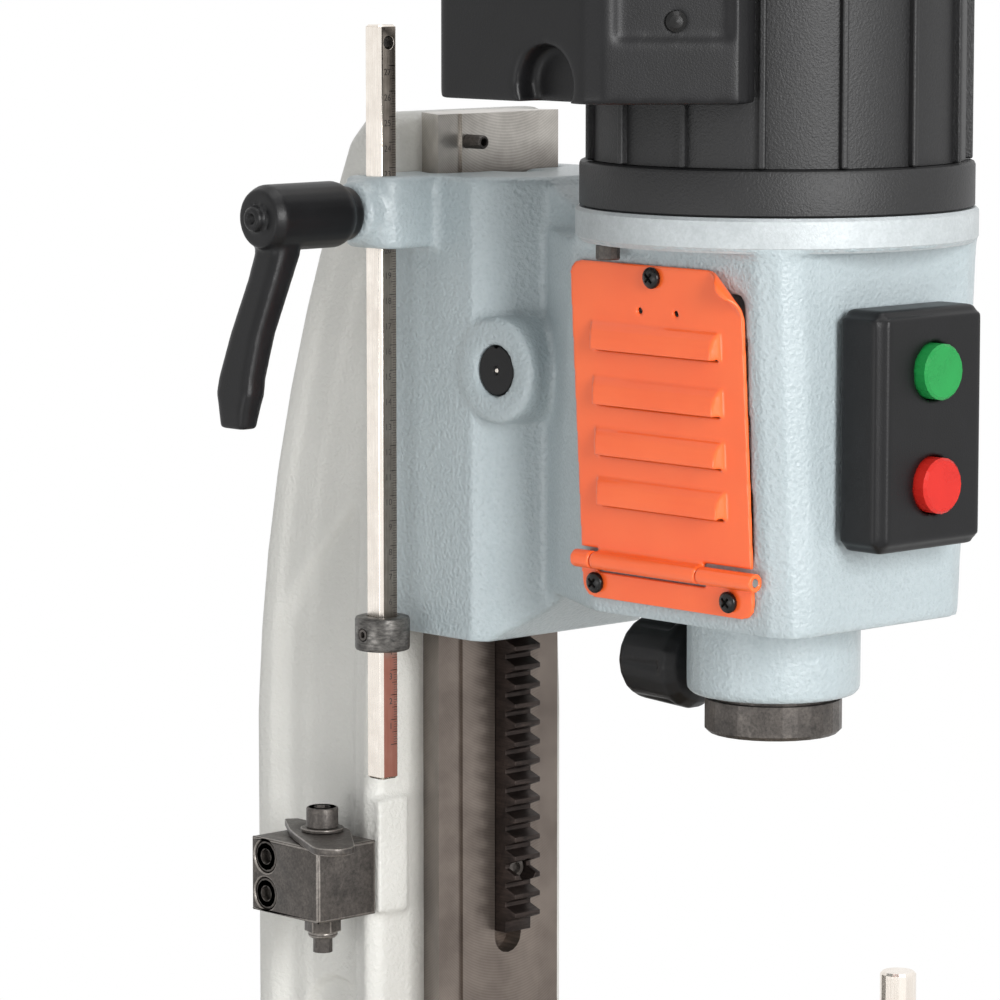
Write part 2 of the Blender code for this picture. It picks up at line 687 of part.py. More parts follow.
def make_rack():
    """A straight rack, with its teeth towards the operator."""
    pitch = math.pi * GEAR_MODULE
    tip = RACK_PITCH_LINE + GEAR_MODULE
    root = RACK_PITCH_LINE - 1.25 * GEAR_MODULE
    slant = math.tan(math.radians(20))
    first = SHAFT_Z - pitch * math.ceil((SHAFT_Z - RACK_BOTTOM) / pitch)
    profile = [(LAND_Y + RACK_BACK, RACK_BOTTOM), (LAND_Y - root, RACK_BOTTOM)]
    half = pitch / 4 - RACK_BACKLASH / 2
    z = first + pitch
    while z + pitch / 2 < RACK_TOP:
        root_half = half + (RACK_PITCH_LINE - root) * slant
        tip_half = half - (tip - RACK_PITCH_LINE) * slant
        profile += [(LAND_Y - root, z - root_half), (LAND_Y - tip, z - tip_half),
                    (LAND_Y - tip, z + tip_half), (LAND_Y - root, z + root_half)]
        z += pitch
    profile += [(LAND_Y - root, RACK_TOP), (LAND_Y + RACK_BACK, RACK_TOP)]
    rack = prism("rack", profile, -RACK_WIDTH / 2, RACK_WIDTH / 2, "X")
    seat = LAND_Y - root + 0.0055
    screws = []
    for place, z in RACK_SCREW_HEIGHTS.items():
        cut(rack, cylinder("counterbore", 0.0047, (0, 0, z), LAND_Y - tip - 0.01, seat, "Y", 20))
        cut(rack, cylinder("hole", 0.0028, (0, 0, z), seat - 0.001, LAND_Y + 0.03, "Y", 16))
        screws.append(socket_head(f"rack_screw_{place}", 0.0043, (0, 0, z), seat - GAP, "Y", -1,
                                  length=0.022, shank=0.0024, height=0.0042))
    return rack, screws


def make_stop_pin():
    """A roll pin in the shoulder, which stops the head at its highest."""
    front = LAND_Y + LAND_RISE - STOP_PIN_REACH
    profile = [(STOP_PIN_RADIUS - 0.0004, front), (STOP_PIN_RADIUS, front + 0.0006),
               (STOP_PIN_RADIUS, front + STOP_PIN_REACH + 0.014),
               (STOP_PIN_RADIUS * 0.6, front + STOP_PIN_REACH + 0.014),
               (STOP_PIN_RADIUS * 0.6, front)]
    return turned("stop_pin", profile, (STOP_PIN_X, 0, STOP_PIN_Z), "Y", 16, ring=True)


# ---------------------------------------------------------------- depth stop
def stop_screw_y():
    """Both screws of the stop block stand near its back."""
    return LAND_Y + STOP_BLOCK_FRONT + STOP_BLOCK_DEPTH - 0.0085


def stop_screw_heights():
    """The heights of the stop block's two screws."""
    return {"upper": STOP_BLOCK_BOTTOM + 0.0230, "lower": STOP_BLOCK_BOTTOM + 0.0078}


def make_stop():
    """The stop block on the column's side, its two screws, and the swing plate with its pivot bolt."""
    wall = -COLUMN_HALF_WIDTH - GAP
    low = (wall - STOP_BLOCK_WIDTH, LAND_Y + STOP_BLOCK_FRONT, STOP_BLOCK_BOTTOM)
    high = (wall, low[1] + STOP_BLOCK_DEPTH, STOP_BLOCK_BOTTOM + STOP_BLOCK_HEIGHT)
    made = block("stop_block", low, high, 0.0006)
    bolt = (STOP_PIVOT_X, LAND_Y + STOP_PIVOT_BACK, 0)
    cut(made, cylinder("pivot_hole", STOP_BOLT_RADIUS + GAP, bolt, low[2] - 0.01, high[2] + 0.01, steps=24))
    screws = []
    for place, z in stop_screw_heights().items():
        seat = low[0] + 0.0085
        cut(made, cylinder("counterbore", 0.0068, (0, stop_screw_y(), z), low[0] - 0.01, seat, "X", 24))
        cut(made, cylinder("hole", 0.0043, (0, stop_screw_y(), z), seat - 0.001, wall + 0.01, "X", 16))
        screws.append(socket_head(f"stop_block_screw_{place}", 0.0064, (0, stop_screw_y(), z), seat - GAP,
                                  "X", -1,
                                  length=0.044, shank=0.0038, height=0.0078))
    plate_low = high[2] + GAP
    plate = stop_plate(bolt, plate_low)
    washer_low = plate_low + STOP_PLATE_THICKNESS + GAP
    washer = turned("stop_washer", [(0.0045, 0), (0.0088, 0), (0.0088, 0.0014), (0.0045, 0.0014)],
                    (bolt[0], bolt[1], washer_low), steps=20, ring=True)
    seat = washer_low + 0.0014 + GAP
    nut_top = low[2] - GAP
    nut_height = 0.0095
    pivot_bolt = socket_head("stop_pivot_bolt", 0.0065, (bolt[0], bolt[1], seat), 0,
                             length=seat - (nut_top - nut_height - 0.006), shank=STOP_BOLT_RADIUS,
                             height=0.0080)
    nut = nut_with_flange(bolt, nut_top, nut_height)
    return made, screws, plate, washer, pivot_bolt, nut


def nut_with_flange(bolt, top, height):
    """A lock nut with its washer face up and a round collar under its six sides."""
    across = 0.0075
    hexagon = [(bolt[0] + across * math.cos(math.radians(60 * i + 15)),
                bolt[1] + across * math.sin(math.radians(60 * i + 15))) for i in range(6)]
    nut = prism("stop_nut", hexagon, top - height + 0.0025, top - 0.001)
    join(nut, cylinder("face", 0.0088, (bolt[0], bolt[1], 0), top - 0.0014, top, steps=20))
    join(nut, cylinder("collar", 0.0060, (bolt[0], bolt[1], 0), top - height, top - height + 0.003, steps=16,
                       chamfer=0.0008))
    cut(nut, cylinder("bore", STOP_BOLT_RADIUS + GAP, (bolt[0], bolt[1], 0), top - 0.02, top + 0.01,
                      steps=16))
    return nut


def stop_plate(bolt, low):
    """A three-cornered plate with a round nose; the nose stops the rod when it is swung under it."""
    nose = STOP_PLATE_TIP_RADIUS
    outline = arc((STOP_PLATE_REACH, 0), nose, -88, 88, 8)
    outline += arc((0, 0), STOP_PLATE_HEEL_RADIUS, 80, 150, 4)
    outline += [(-STOP_PLATE_TAIL, -0.0060), (-STOP_PLATE_TAIL, -0.0115), (-0.0060, -0.0125),
                (0.004, -0.0118)]
    angle = math.radians(STOP_PLATE_REST_ANGLE)
    placed = [(bolt[0] + x * math.cos(angle) - y * math.sin(angle),
               bolt[1] + x * math.sin(angle) + y * math.cos(angle)) for x, y in outline]
    plate = prism("stop_plate", placed, low, low + STOP_PLATE_THICKNESS)
    cut(plate, cylinder("hole", STOP_BOLT_RADIUS + GAP, (bolt[0], bolt[1], 0), low - 0.01, low + 0.01,
                        steps=24))
    return plate


def square_bar(half, chamfer):
    """A square bar that stands upright round a middle point."""
    corner = half - chamfer
    return [(half, -corner), (half, corner), (corner, half), (-corner, half),
            (-half, corner), (-half, -corner), (-corner, -half), (corner, -half)]


def make_depth_rod():
    """The square depth rod with its hole at the top, and the collar with its set screw."""
    half = ROD_SIDE / 2
    bevel = 0.0008
    body = [(ROD_X + x, ROD_Y + y) for x, y in square_bar(half, 0.0012)]
    end = [(ROD_X + x * (1 - bevel / half), ROD_Y + y * (1 - bevel / half))
           for x, y in square_bar(half, 0.0012)]
    top = ROD_BOTTOM + ROD_LENGTH
    rod = prism("depth_rod", body, ROD_BOTTOM + bevel, top - bevel)
    join(rod, prism("end", end, ROD_BOTTOM, ROD_BOTTOM + bevel + GAP, far_outline=body))
    join(rod, prism("end", body, top - bevel - GAP, top, far_outline=end))
    cut(rod, cylinder("hole", ROD_HOLE / 2, (ROD_X, ROD_Y, top - 0.007), -0.02, 0.02, "Y", 20))
    hole = [(ROD_X + x, ROD_Y + y) for x, y in square_bar(half + GAP, 0.0012)]
    collar = cylinder("depth_collar", COLLAR_RADIUS, (ROD_X, ROD_Y, COLLAR_BOTTOM), 0, COLLAR_HEIGHT,
                      steps=28,
                      chamfer=0.0007)
    cut(collar, prism("hole", hole, COLLAR_BOTTOM - 0.01, COLLAR_BOTTOM + 0.03))
    screw_z = COLLAR_BOTTOM + COLLAR_HEIGHT / 2
    cut(collar, cylinder("screw_hole", 0.0026, (ROD_X, ROD_Y, screw_z), -COLLAR_RADIUS - 0.01, -half, "X",
                         16))
    screw = turned("collar_screw", [(0.0023, -half - GAP * 2), (0.0023, -COLLAR_RADIUS + 0.0004),
                                    (0.0013, -COLLAR_RADIUS + 0.0004), (0.0013, -COLLAR_RADIUS + 0.0024)],
                   (ROD_X, ROD_Y, screw_z), "X", 12)
    return rod, collar, screw


def make_clamp_lever(low_x):
    """A moulded lever whose hub turns on the ear's boss and clamps the rod."""
    z = (EAR_TOP + EAR_BOTTOM) / 2
    centre = (0, ROD_Y, z)
    end = low_x - LEVER_HUB_LENGTH
    neck = low_x - 0.0055
    hub = turned("clamp_lever", [(0.0098, low_x), (0.0108, low_x - 0.001), (0.0108, neck),
                                 (0.0122, neck - 0.0006),
                                 (0.0131, neck - 0.003), (0.0131, end + 0.004), (0.0110, end), (0.0062, end),
                                 (0.0062, end + 0.0015)], centre, "X", 24)
    mesh = bmesh.new()
    rings = []
    for down, half, thick, out, back in LEVER_STATIONS:
        x = end + 0.011 - out
        outline = rounded((-half, -thick / 2), (half, thick / 2), min(half, thick / 2) * 0.55, 2)
        rings.append([mesh.verts.new((x + b, ROD_Y + back + a, z - down)) for a, b in outline])
    mesh.faces.new(rings[0])
    mesh.faces.new(rings[-1])
    for upper, lower in zip(rings, rings[1:]):
        for i in range(len(upper)):
            j = (i + 1) % len(upper)
            mesh.faces.new((upper[i], upper[j], lower[j], lower[i]))
    join(hub, solid("arm", mesh))
    screw = turned("screw", [(0.0050, end + 0.0030), (0.0050, end - 0.0030), (0.0042, end - 0.0038),
                             (0.0022, end - 0.0038), (0.0022, end - 0.0018)], centre, "X", 14)
    join(hub, screw)
    return hub


# ---------------------------------------------------------------- gas spring
def make_gas_spring(ear_bottom):
    """The gas spring behind the column's right side: a closed tube and its rod."""
    centre = (GAS_X, LAND_Y + GAS_BEHIND_LAND, 0)
    floor = GAS_BOTTOM + GAP
    bore = GAS_ROD_RADIUS + RUNNING_GAP
    cylinder_profile = [(GAS_RADIUS - 0.001, floor), (GAS_RADIUS, floor + 0.001),
                        (GAS_RADIUS, GAS_TOP - 0.002),
                        (GAS_RADIUS - 0.002, GAS_TOP), (bore, GAS_TOP), (bore, floor + 0.012)]
    tube = turned("gas_spring_cylinder", cylinder_profile, centre, "Z", 18)
    rod = cylinder("gas_spring_rod", GAS_ROD_RADIUS, centre, GAS_TOP - 0.014, ear_bottom - GAP, steps=14,
                   chamfer=0.0005)
    return tube, rod


# ---------------------------------------------------------------- head
def housing_half_width(z):
    """Half the head's width at a height: its sides draw in towards the bottom."""
    share = (z - HOUSING_BOTTOM) / (HOUSING_TOP - HOUSING_BOTTOM)
    return HOUSING_BOTTOM_HALF_WIDTH + share * (HOUSING_HALF_WIDTH - HOUSING_BOTTOM_HALF_WIDTH)


def housing_plan(half):
    """The housing's outline seen from above, for one half width."""
    corner = 0.012
    front = LAND_Y - HOUSING_FRONT
    right = [(half - corner, front), (half - corner * 0.3, front + corner * 0.3), (half, front + corner)]
    right += [(half, LAND_Y - HOUSING_BACK - 0.003), (half - 0.002, LAND_Y - HOUSING_BACK + 0.002)]
    right += [(NECK_HALF_WIDTH, LAND_Y - NECK_FRONT), (NECK_HALF_WIDTH, LAND_Y - HEAD_CORNER + 0.004)]
    return mirrored(right)


def make_head():
    """The head: slide, neck, housing, motor flange, nose, ears and the hollows inside."""
    soft = 0.004
    slide = mirrored([(NECK_HALF_WIDTH, LAND_Y - NECK_FRONT),
                      (HEAD_HALF_WIDTH - soft, LAND_Y - HEAD_CORNER - soft * 0.6),
                      (HEAD_HALF_WIDTH, LAND_Y - HEAD_CORNER + soft), (HEAD_HALF_WIDTH, LAND_Y + HEAD_BACK)])
    head = prism("head_casting", slide, HEAD_BOTTOM, HEAD_TOP)
    join(head, prism("housing", housing_plan(HOUSING_BOTTOM_HALF_WIDTH), HOUSING_BOTTOM, HOUSING_TOP,
                     far_outline=housing_plan(HOUSING_HALF_WIDTH)))
    neck = [(LAND_Y - NECK_FRONT + 0.003, HEAD_TOP), (LAND_Y - NECK_FRONT + 0.003, HOUSING_TOP - 0.002),
            (LAND_Y - 0.078, HOUSING_TOP - 0.002), (LAND_Y - 0.070, HOUSING_TOP + 0.006)]
    join(head, prism("neck_top", neck, -NECK_HALF_WIDTH, NECK_HALF_WIDTH, "X"))
    under = [(LAND_Y - NECK_FRONT + 0.003, HEAD_BOTTOM + 0.005),
             (LAND_Y - NECK_FRONT + 0.003, HOUSING_BOTTOM + 0.002),
             (LAND_Y - SLOPE_END, HOUSING_BOTTOM + 0.002), (LAND_Y - SLOPE_END, HOUSING_BOTTOM)]
    join(head, prism("neck_foot", under, -NECK_HALF_WIDTH, NECK_HALF_WIDTH, "X"))
    slope = [(LAND_Y - SLOPE_START, HEAD_BOTTOM), (LAND_Y - SLOPE_END, HOUSING_BOTTOM),
             (LAND_Y - SLOPE_END, HEAD_BOTTOM - 0.01), (LAND_Y - SLOPE_START, HEAD_BOTTOM - 0.01)]
    cut(head, prism("neck_slope", slope, -HEAD_HALF_WIDTH - 0.01, HEAD_HALF_WIDTH + 0.01, "X"))
    axis = (0, SPINDLE_Y, 0)
    join(head, cylinder("flange", FLANGE_RADIUS, axis, HOUSING_TOP, FLANGE_TOP, steps=44, chamfer=0.0008))
    join(head, cylinder("nose", NOSE_RADIUS, axis, NOSE_BOTTOM, HOUSING_BOTTOM + 0.004, steps=28,
                        chamfer=0.002))
    for side in (-1, 1):
        low, high = sorted((side * (HEAD_HALF_WIDTH - 0.030), side * BOSS_OUT))
        join(head, cylinder("boss", BOSS_RADIUS, (0, SHAFT_Y, SHAFT_Z), low, high, "X", 24, 0.001))
    join_ears(head)
    cut_head_hollows(head)
    return head


def join_ears(head):
    """The ear that carries the depth rod on the left, and the arm on the right that the gas spring lifts."""
    radius = 0.007
    front, back = LAND_Y - EAR_FRONT, LAND_Y + EAR_BACK
    ear = arc((-EAR_OUT + radius, front + radius), radius, 180, 270, 4)
    ear += [(-HEAD_HALF_WIDTH + 0.004, front), (-HEAD_HALF_WIDTH + 0.004, back), (-EAR_OUT, back)]
    join(head, prism("ear", ear, EAR_BOTTOM, EAR_TOP))
    join(head, cylinder("ear_boss", 0.0125, (0, ROD_Y, (EAR_TOP + EAR_BOTTOM) / 2),
                        -EAR_OUT - EAR_BOSS_LENGTH, -EAR_OUT + 0.002, "X", 28, 0.0015))
    arm_front, arm_back = LAND_Y - 0.004, LAND_Y + HEAD_BACK - 0.001
    gas_arm = [(HEAD_HALF_WIDTH - 0.004, arm_back), (HEAD_HALF_WIDTH - 0.004, arm_front),
               (GAS_X + 0.004, arm_front), (GAS_X + GAS_ARM_RADIUS, arm_front + 0.007)]
    gas_arm += arc((GAS_X, LAND_Y + GAS_BEHIND_LAND), GAS_ARM_RADIUS, 0, 180, 8)
    gas_arm.append((GAS_X - GAS_ARM_RADIUS, arm_back))
    join(head, prism("gas_arm", gas_arm, EAR_BOTTOM, EAR_BOTTOM + 0.016))


def cut_head_hollows(head):
    """The dovetail, the pinion's room, the chuck's room with its two windows, and the holes."""
    way = dovetail_outline(HEAD_BACK + 0.006, RUNNING_GAP)
    cut(head, prism("way", way, HEAD_BOTTOM - 0.02, HEAD_TOP + 0.02))
    cut(head, prism("gib_pocket", gib_outline(GAP, HEAD_BACK + 0.006), HEAD_BOTTOM - 0.02, HEAD_TOP + 0.02))
    rack_half = RACK_WIDTH / 2 + 0.001
    tip = LAND_Y - RACK_PITCH_LINE - GEAR_MODULE - 0.001
    cut(head, block("rack_room", (-rack_half, tip, HEAD_BOTTOM - 0.02),
                    (rack_half, LAND_Y + 0.001, HEAD_TOP + 0.02)))
    tip_radius = GEAR_MODULE * (PINION_TEETH / 2 + 1) + 0.0015
    half = PINION_HALF_WIDTH + 0.0015
    room = cylinder("pinion_room", tip_radius, (0, SHAFT_Y, SHAFT_Z), -half, half, "X", 28)
    join(room, block("way_in", (-half, SHAFT_Y, SHAFT_Z - tip_radius),
                     (half, LAND_Y + 0.001, SHAFT_Z + tip_radius)))
    cut(head, room)
    cut(head, cylinder("shaft_bore", SHAFT_RADIUS + 0.0002, (0, SHAFT_Y, SHAFT_Z), -0.08, 0.08, "X", 24))
    inner = HOUSING_BOTTOM_HALF_WIDTH - 0.005
    cut(head, block("chuck_room", (-inner, LAND_Y - HOUSING_FRONT + HOUSING_WALL, HOUSING_BOTTOM + 0.017),
                    (inner, LAND_Y - HOUSING_BACK - 0.007, HOUSING_TOP - 0.010)))
    cut(head, block("windows", (-0.08, LAND_Y - WINDOW_FRONT, WINDOW_BOTTOM),
                    (0.08, LAND_Y - WINDOW_BACK, WINDOW_TOP)))
    axis = (0, SPINDLE_Y, 0)
    cut(head, cylinder("motor_bore", 0.020, axis, HOUSING_TOP - 0.02, FLANGE_TOP + 0.01, steps=20))
    cut(head, cylinder("chisel_bore", SOCKET_RADIUS, axis, NOSE_BOTTOM - 0.01, HOUSING_BOTTOM + 0.03,
                       steps=24))
    cut(head, cylinder("spigot_room", BUSHING_SPIGOT + GAP, axis, NOSE_BOTTOM - 0.01, NOSE_BOTTOM + 0.012,
                       steps=24))
    cut(head, cylinder("knob_hole", 0.0034, (0, 0, KNOB_Z), SPINDLE_Y + SOCKET_RADIUS - 0.004, LAND_Y - 0.1,
                       "Y", 16))
    hole = ROD_SIDE / 2 + GAP
    rod_way = [(ROD_X + x, ROD_Y + y) for x, y in square_bar(hole, 0.0012)]
    cut(head, prism("rod_way", rod_way, EAR_BOTTOM - 0.01, EAR_TOP + 0.01))
    for side in (-1, 1):
        x, y = motor_bolt_place(side)
        cut(head, cylinder("motor_bolt_hole", 0.0030, (x, y, 0), HOUSING_TOP - 0.001, FLANGE_TOP + 0.01,
                           steps=12))


def gib_outline(gap=0.0, back=HEAD_BACK - 0.0005):
    """The plan of the strip between the dovetail's right flank and the head."""
    front = LAND_RISE + 0.001 - gap
    inner_front = flank_half_width(front, RUNNING_GAP) + DOVETAIL_X
    inner_back = flank_half_width(back, RUNNING_GAP) + DOVETAIL_X
    reach = GIB_THICKNESS + gap
    return [(inner_front, LAND_Y + front), (inner_front + reach, LAND_Y + front),
            (inner_back + reach, LAND_Y + back), (inner_back, LAND_Y + back)]


def motor_bolt_place(side):
    """The middle of a motor bolt; side is -1 for the left."""
    angle = math.radians(20.5)
    return side * 0.0700 * math.cos(angle), SPINDLE_Y + 0.0700 * math.sin(angle)


def make_drive():
    """The pinion with its shaft, the cap in the left boss, and the feed lever on the right."""
    centre = (0, SHAFT_Y, SHAFT_Z)
    shaft = cylinder("pinion_shaft", SHAFT_RADIUS, centre, -BOSS_OUT + 0.006, FEED_HUB_END - 0.010, "X", 20,
                     0.0006)
    join(shaft, pinion(centre))
    face = -BOSS_OUT + 0.0012
    cap = turned("shaft_end_cap", [(SHAFT_RADIUS, face + 0.0035), (SHAFT_RADIUS, face), (0.0022, face),
                                   (0.0012, face + 0.0014)], centre, "X", 20)
    hub = turned("feed_hub", [(SHAFT_RADIUS + 0.004, FEED_HUB_START),
                              (FEED_HUB_RADIUS - 0.003, FEED_HUB_START + 0.002),
                              (FEED_HUB_RADIUS, FEED_HUB_START + 0.005),
                              (FEED_HUB_RADIUS, FEED_HUB_END - 0.006),
                              (FEED_HUB_RADIUS - 0.005, FEED_HUB_END)], centre, "X", 24)
    cut(hub, cylinder("bore", SHAFT_RADIUS + GAP, centre, FEED_HUB_START - 0.01, FEED_HUB_END - 0.010 + GAP,
                      "X", 20))
    lever_x = (FEED_HUB_START + FEED_HUB_END) / 2 + 0.005
    middle = (lever_x, SHAFT_Y, SHAFT_Z)
    start = 0.0150
    hole = cylinder("hole", FEED_LEVER_RADIUS + GAP, middle, start - GAP, 0.05, "Z", 14)
    lever = cylinder("feed_lever", FEED_LEVER_RADIUS, middle, start, FEED_LEVER_LENGTH, "Z", 14, 0.0008)
    grip_low = FEED_LEVER_LENGTH - 0.020
    radius = FEED_GRIP_RADIUS
    grip = turned("feed_grip", [(radius * 0.62, grip_low), (radius * 0.72, grip_low + 0.010),
                                (radius * 0.86, grip_low + 0.035), (radius, grip_low + 0.066),
                                (radius * 0.97, grip_low + 0.080),
                                (radius * 0.70, grip_low + FEED_GRIP_LENGTH - 0.002),
                                (0, grip_low + FEED_GRIP_LENGTH)], middle, "Z", 16)
    cut(grip, cylinder("hole", FEED_LEVER_RADIUS + GAP, middle, grip_low - 0.01, FEED_LEVER_LENGTH + GAP,
                       "Z", 14))
    for piece in (hole, lever, grip):
        turn(piece, middle, 90 - FEED_LEVER_ANGLE, "X")
    cut(hub, hole)
    return shaft, cap, hub, lever, grip


def pinion(centre):
    """A 20 degree spur gear with straight flanks."""
    pitch_radius = GEAR_MODULE * PINION_TEETH / 2
    root, tip = pitch_radius - 1.25 * GEAR_MODULE, pitch_radius + GEAR_MODULE
    half = math.pi / PINION_TEETH / 2 * 0.985
    slant = math.tan(math.radians(20))
    stations = ((root, half + 1.25 * GEAR_MODULE * slant / pitch_radius * 0.80),
                (tip, half - GEAR_MODULE * slant / pitch_radius * 1.25))
    outline = []
    for tooth in range(PINION_TEETH):
        middle = math.tau * (tooth + 0.5) / PINION_TEETH
        for radius, width in stations:
            outline.append((radius, middle - width))
        for radius, width in reversed(stations):
            outline.append((radius, middle + width))
    points = [(centre[1] + r * math.cos(a), centre[2] + r * math.sin(a)) for r, a in outline]
    return prism("pinion", points, -PINION_HALF_WIDTH, PINION_HALF_WIDTH, "X")


def make_spindle():
    """The drill chuck on the motor's shaft, the chisel bushing below it and the bushing's lock knob."""
    axis = (0, SPINDLE_Y, 0)
    low = HOUSING_BOTTOM + CHUCK_ABOVE_FLOOR
    profile = [(0.0105, low), (0.0200, low + 0.016), (0.0205, low + 0.018), (0.0205, low + 0.044),
               (0.0180, low + 0.048), (0.0180, low + 0.062), (0.0080, low + 0.064),
               (0.0080, END_BELL_TOP + 0.030)]
    chuck = turned("spindle_chuck", profile, axis, "Z", 20)
    cut(chuck, cylinder("bit_hole", 0.0055, axis, low - 0.01, low + 0.030, steps=16))
    bushing = turned("chisel_bushing", [(SOCKET_RADIUS, BUSHING_BOTTOM),
                                        (BUSHING_RADIUS - 0.0015, BUSHING_BOTTOM),
                                        (BUSHING_RADIUS, BUSHING_BOTTOM + 0.0015),
                                        (BUSHING_RADIUS, NOSE_BOTTOM - 0.0020),
                                        (BUSHING_RADIUS - 0.002, NOSE_BOTTOM - 0.0018),
                                        (BUSHING_RADIUS - 0.002, NOSE_BOTTOM - GAP),
                                        (BUSHING_SPIGOT, NOSE_BOTTOM - GAP),
                                        (BUSHING_SPIGOT, NOSE_BOTTOM + 0.0115),
                                        (SOCKET_RADIUS, NOSE_BOTTOM + 0.0115)],
                     axis, "Z", 28, ring=True)
    back = SPINDLE_Y + NOSE_RADIUS
    knob = turned("chisel_knob", knob_profile(back), (0, 0, KNOB_Z), "Y", 18)
    hole = cylinder("knob_way", 0.0034, (0, 0, KNOB_Z), SPINDLE_Y, LAND_Y - 0.1, "Y", 16)
    cut(bushing, hole)
    for i in range(6):
        angle = math.tau * i / 6
        place = (0.0196 * math.cos(angle), 0, KNOB_Z + 0.0196 * math.sin(angle))
        cut(knob, cylinder("flute", 0.0036, place, back + 0.012, back + 0.050, "Y", 8))
    return chuck, bushing, knob


def knob_profile(back):
    """The lock knob from the tip of its stud to its outer end."""
    return [(0.0030, SPINDLE_Y + SOCKET_RADIUS + 0.002), (0.0030, back + GAP), (0.0085, back + GAP),
            (0.0095, back + 0.002), (0.0150, back + 0.005), (0.0180, back + 0.009), (0.0168, back + 0.0335),
            (0.0150, back + 0.036)]


# ---------------------------------------------------------------- doors
def make_door(name, side):
    """A pressed door with louvres, its fixed leaf and the hinge pin; side is -1 for the left."""
    face = side * (housing_half_width(HINGE_Z) + GAP)
    axis_x = face + side * HINGE_RADIUS
    front, back = LAND_Y - DOOR_FRONT, LAND_Y - DOOR_BACK
    knuckles = [(front - 0.004, LAND_Y - KNUCKLE_SPLITS[1]),
                (LAND_Y - KNUCKLE_SPLITS[1], LAND_Y - KNUCKLE_SPLITS[0]),
                (LAND_Y - KNUCKLE_SPLITS[0], back + 0.001)]

    def plate(label, low, high):
        radius = 0.006
        outline = rounded((front, low), (back, high), radius, 3)
        return prism(label, outline, *sorted((face, face + side * DOOR_THICKNESS)), "X")

    def knuckle(reach, spare=GAP / 2, radius=HINGE_RADIUS):
        low, high = reach
        return cylinder("knuckle", radius, (axis_x, 0, HINGE_Z), low + spare, high - spare, "Y", 16)

    door = plate(f"door_{name}", HINGE_Z - 0.006, DOOR_TOP)
    trim = sorted((face - side * 0.01, face + side * 0.01))
    cut(door, block("below", (trim[0], front - 0.01, HINGE_Z - 0.02), (trim[1], back + 0.01, HINGE_Z)))
    leaf = plate(f"door_leaf_{name}", LEAF_BOTTOM, HINGE_Z + 0.006)
    cut(leaf, block("above", (trim[0], front - 0.01, HINGE_Z - 0.0002),
                    (trim[1], back + 0.01, HINGE_Z + 0.02)))
    for i, reach in enumerate(knuckles):
        own, other = (door, leaf) if i == 1 else (leaf, door)
        room = HINGE_RADIUS + 0.0008
        z = sorted((HINGE_Z, HINGE_Z + (room if other is door else -room)))
        low, high = reach[0] - (0.01 if i == 0 else 0.0005), reach[1] + (0.01 if i == 2 else 0.0005)
        cut(other, block("relief", (trim[0], low, z[0] - 0.0005), (trim[1], high, z[1])))
    for i, reach in enumerate(knuckles):
        join(door if i == 1 else leaf, knuckle(reach))
    low, high = knuckles[0][0], knuckles[2][1]
    for piece in (door, leaf):
        cut(piece, cylinder("pin_hole", HINGE_PIN_RADIUS + 0.0001, (axis_x, 0, HINGE_Z), low - 0.01,
                            high + 0.01, "Y", 16))
    pin = cylinder(f"door_pin_{name}", HINGE_PIN_RADIUS, (axis_x, 0, HINGE_Z), low + 0.0005, high - 0.0005,
                   "Y", 12)
    for lip in LOUVRE_LIPS:
        add_louvre(door, face, side, lip)
    top_y = LAND_Y - 0.142
    cut(door, cylinder("screw_hole", 0.0024, (0, top_y, DOOR_TOP - DOOR_SCREW_DROP), *trim, "X", 12))
    for hole_y in VENT_BACKS:
        cut(door, cylinder("vent", VENT_RADIUS, (0, LAND_Y - hole_y, VENT_Z), *trim, "X", 12))
    draw = HOUSING_HALF_WIDTH - HOUSING_BOTTOM_HALF_WIDTH
    tilt = math.degrees(math.atan(draw / (HOUSING_TOP - HOUSING_BOTTOM)))
    corner = (face, 0, HINGE_Z)
    pieces = [door, leaf, pin]
    if name == "left":
        for label, y, z in (("door_screw_left", top_y, DOOR_TOP - DOOR_SCREW_DROP),
                            ("leaf_screw_left_rear", LAND_Y - 0.105, LEAF_BOTTOM + 0.006),
                            ("leaf_screw_left_front", LAND_Y - 0.176, LEAF_BOTTOM + 0.006)):
            seat = face + side * (DOOR_THICKNESS + GAP)
            pieces.append(turned(label, [(0, seat + side * 0.0028), (0.0024, seat + side * 0.0026),
                                         (0.0038, seat + side * 0.0012), (0.0040, seat)], (0, y, z), "X",
                                         14))
    for piece in pieces:
        turn(piece, corner, side * tilt, "Y")
    offset = Matrix.Rotation(math.radians(side * tilt), 4, "Y") @ Vector((axis_x - face, 0, 0))
    return pieces, (face + offset.x, 0, HINGE_Z + offset.z)


def add_louvre(door, face, side, lip):
    """A hooded slot: a quarter-round shell, closed at its ends and open along its lower lip."""
    front, back = LAND_Y - LOUVRE_FRONT, LAND_Y - LOUVRE_BACK
    wall = DOOR_THICKNESS * 0.8

    def hood(depth, height, inset, start, drop=0.0):
        steps = 4
        outline = [(face + side * start, lip - drop)]
        for i in range(steps + 1):
            angle = math.pi / 2 * i / steps
            outline.append((face + side * (start + (depth - start) * math.cos(angle)),
                            lip - drop + (height + drop) * math.sin(angle)))
        shell = prism("hood", outline, front + inset, back - inset, "Y")
        for vert in shell.data.vertices:
            lean = 0.6 * side * (vert.co.x - face)
            vert.co.y += lean if vert.co.y < (front + back) / 2 else -lean
        return shell

    join(door, hood(LOUVRE_DEPTH, LOUVRE_HEIGHT, 0.0, DOOR_THICKNESS * 0.5))
    cut(door, hood(LOUVRE_DEPTH - wall, LOUVRE_HEIGHT - wall, wall, -DOOR_THICKNESS * 0.5, 0.0004))


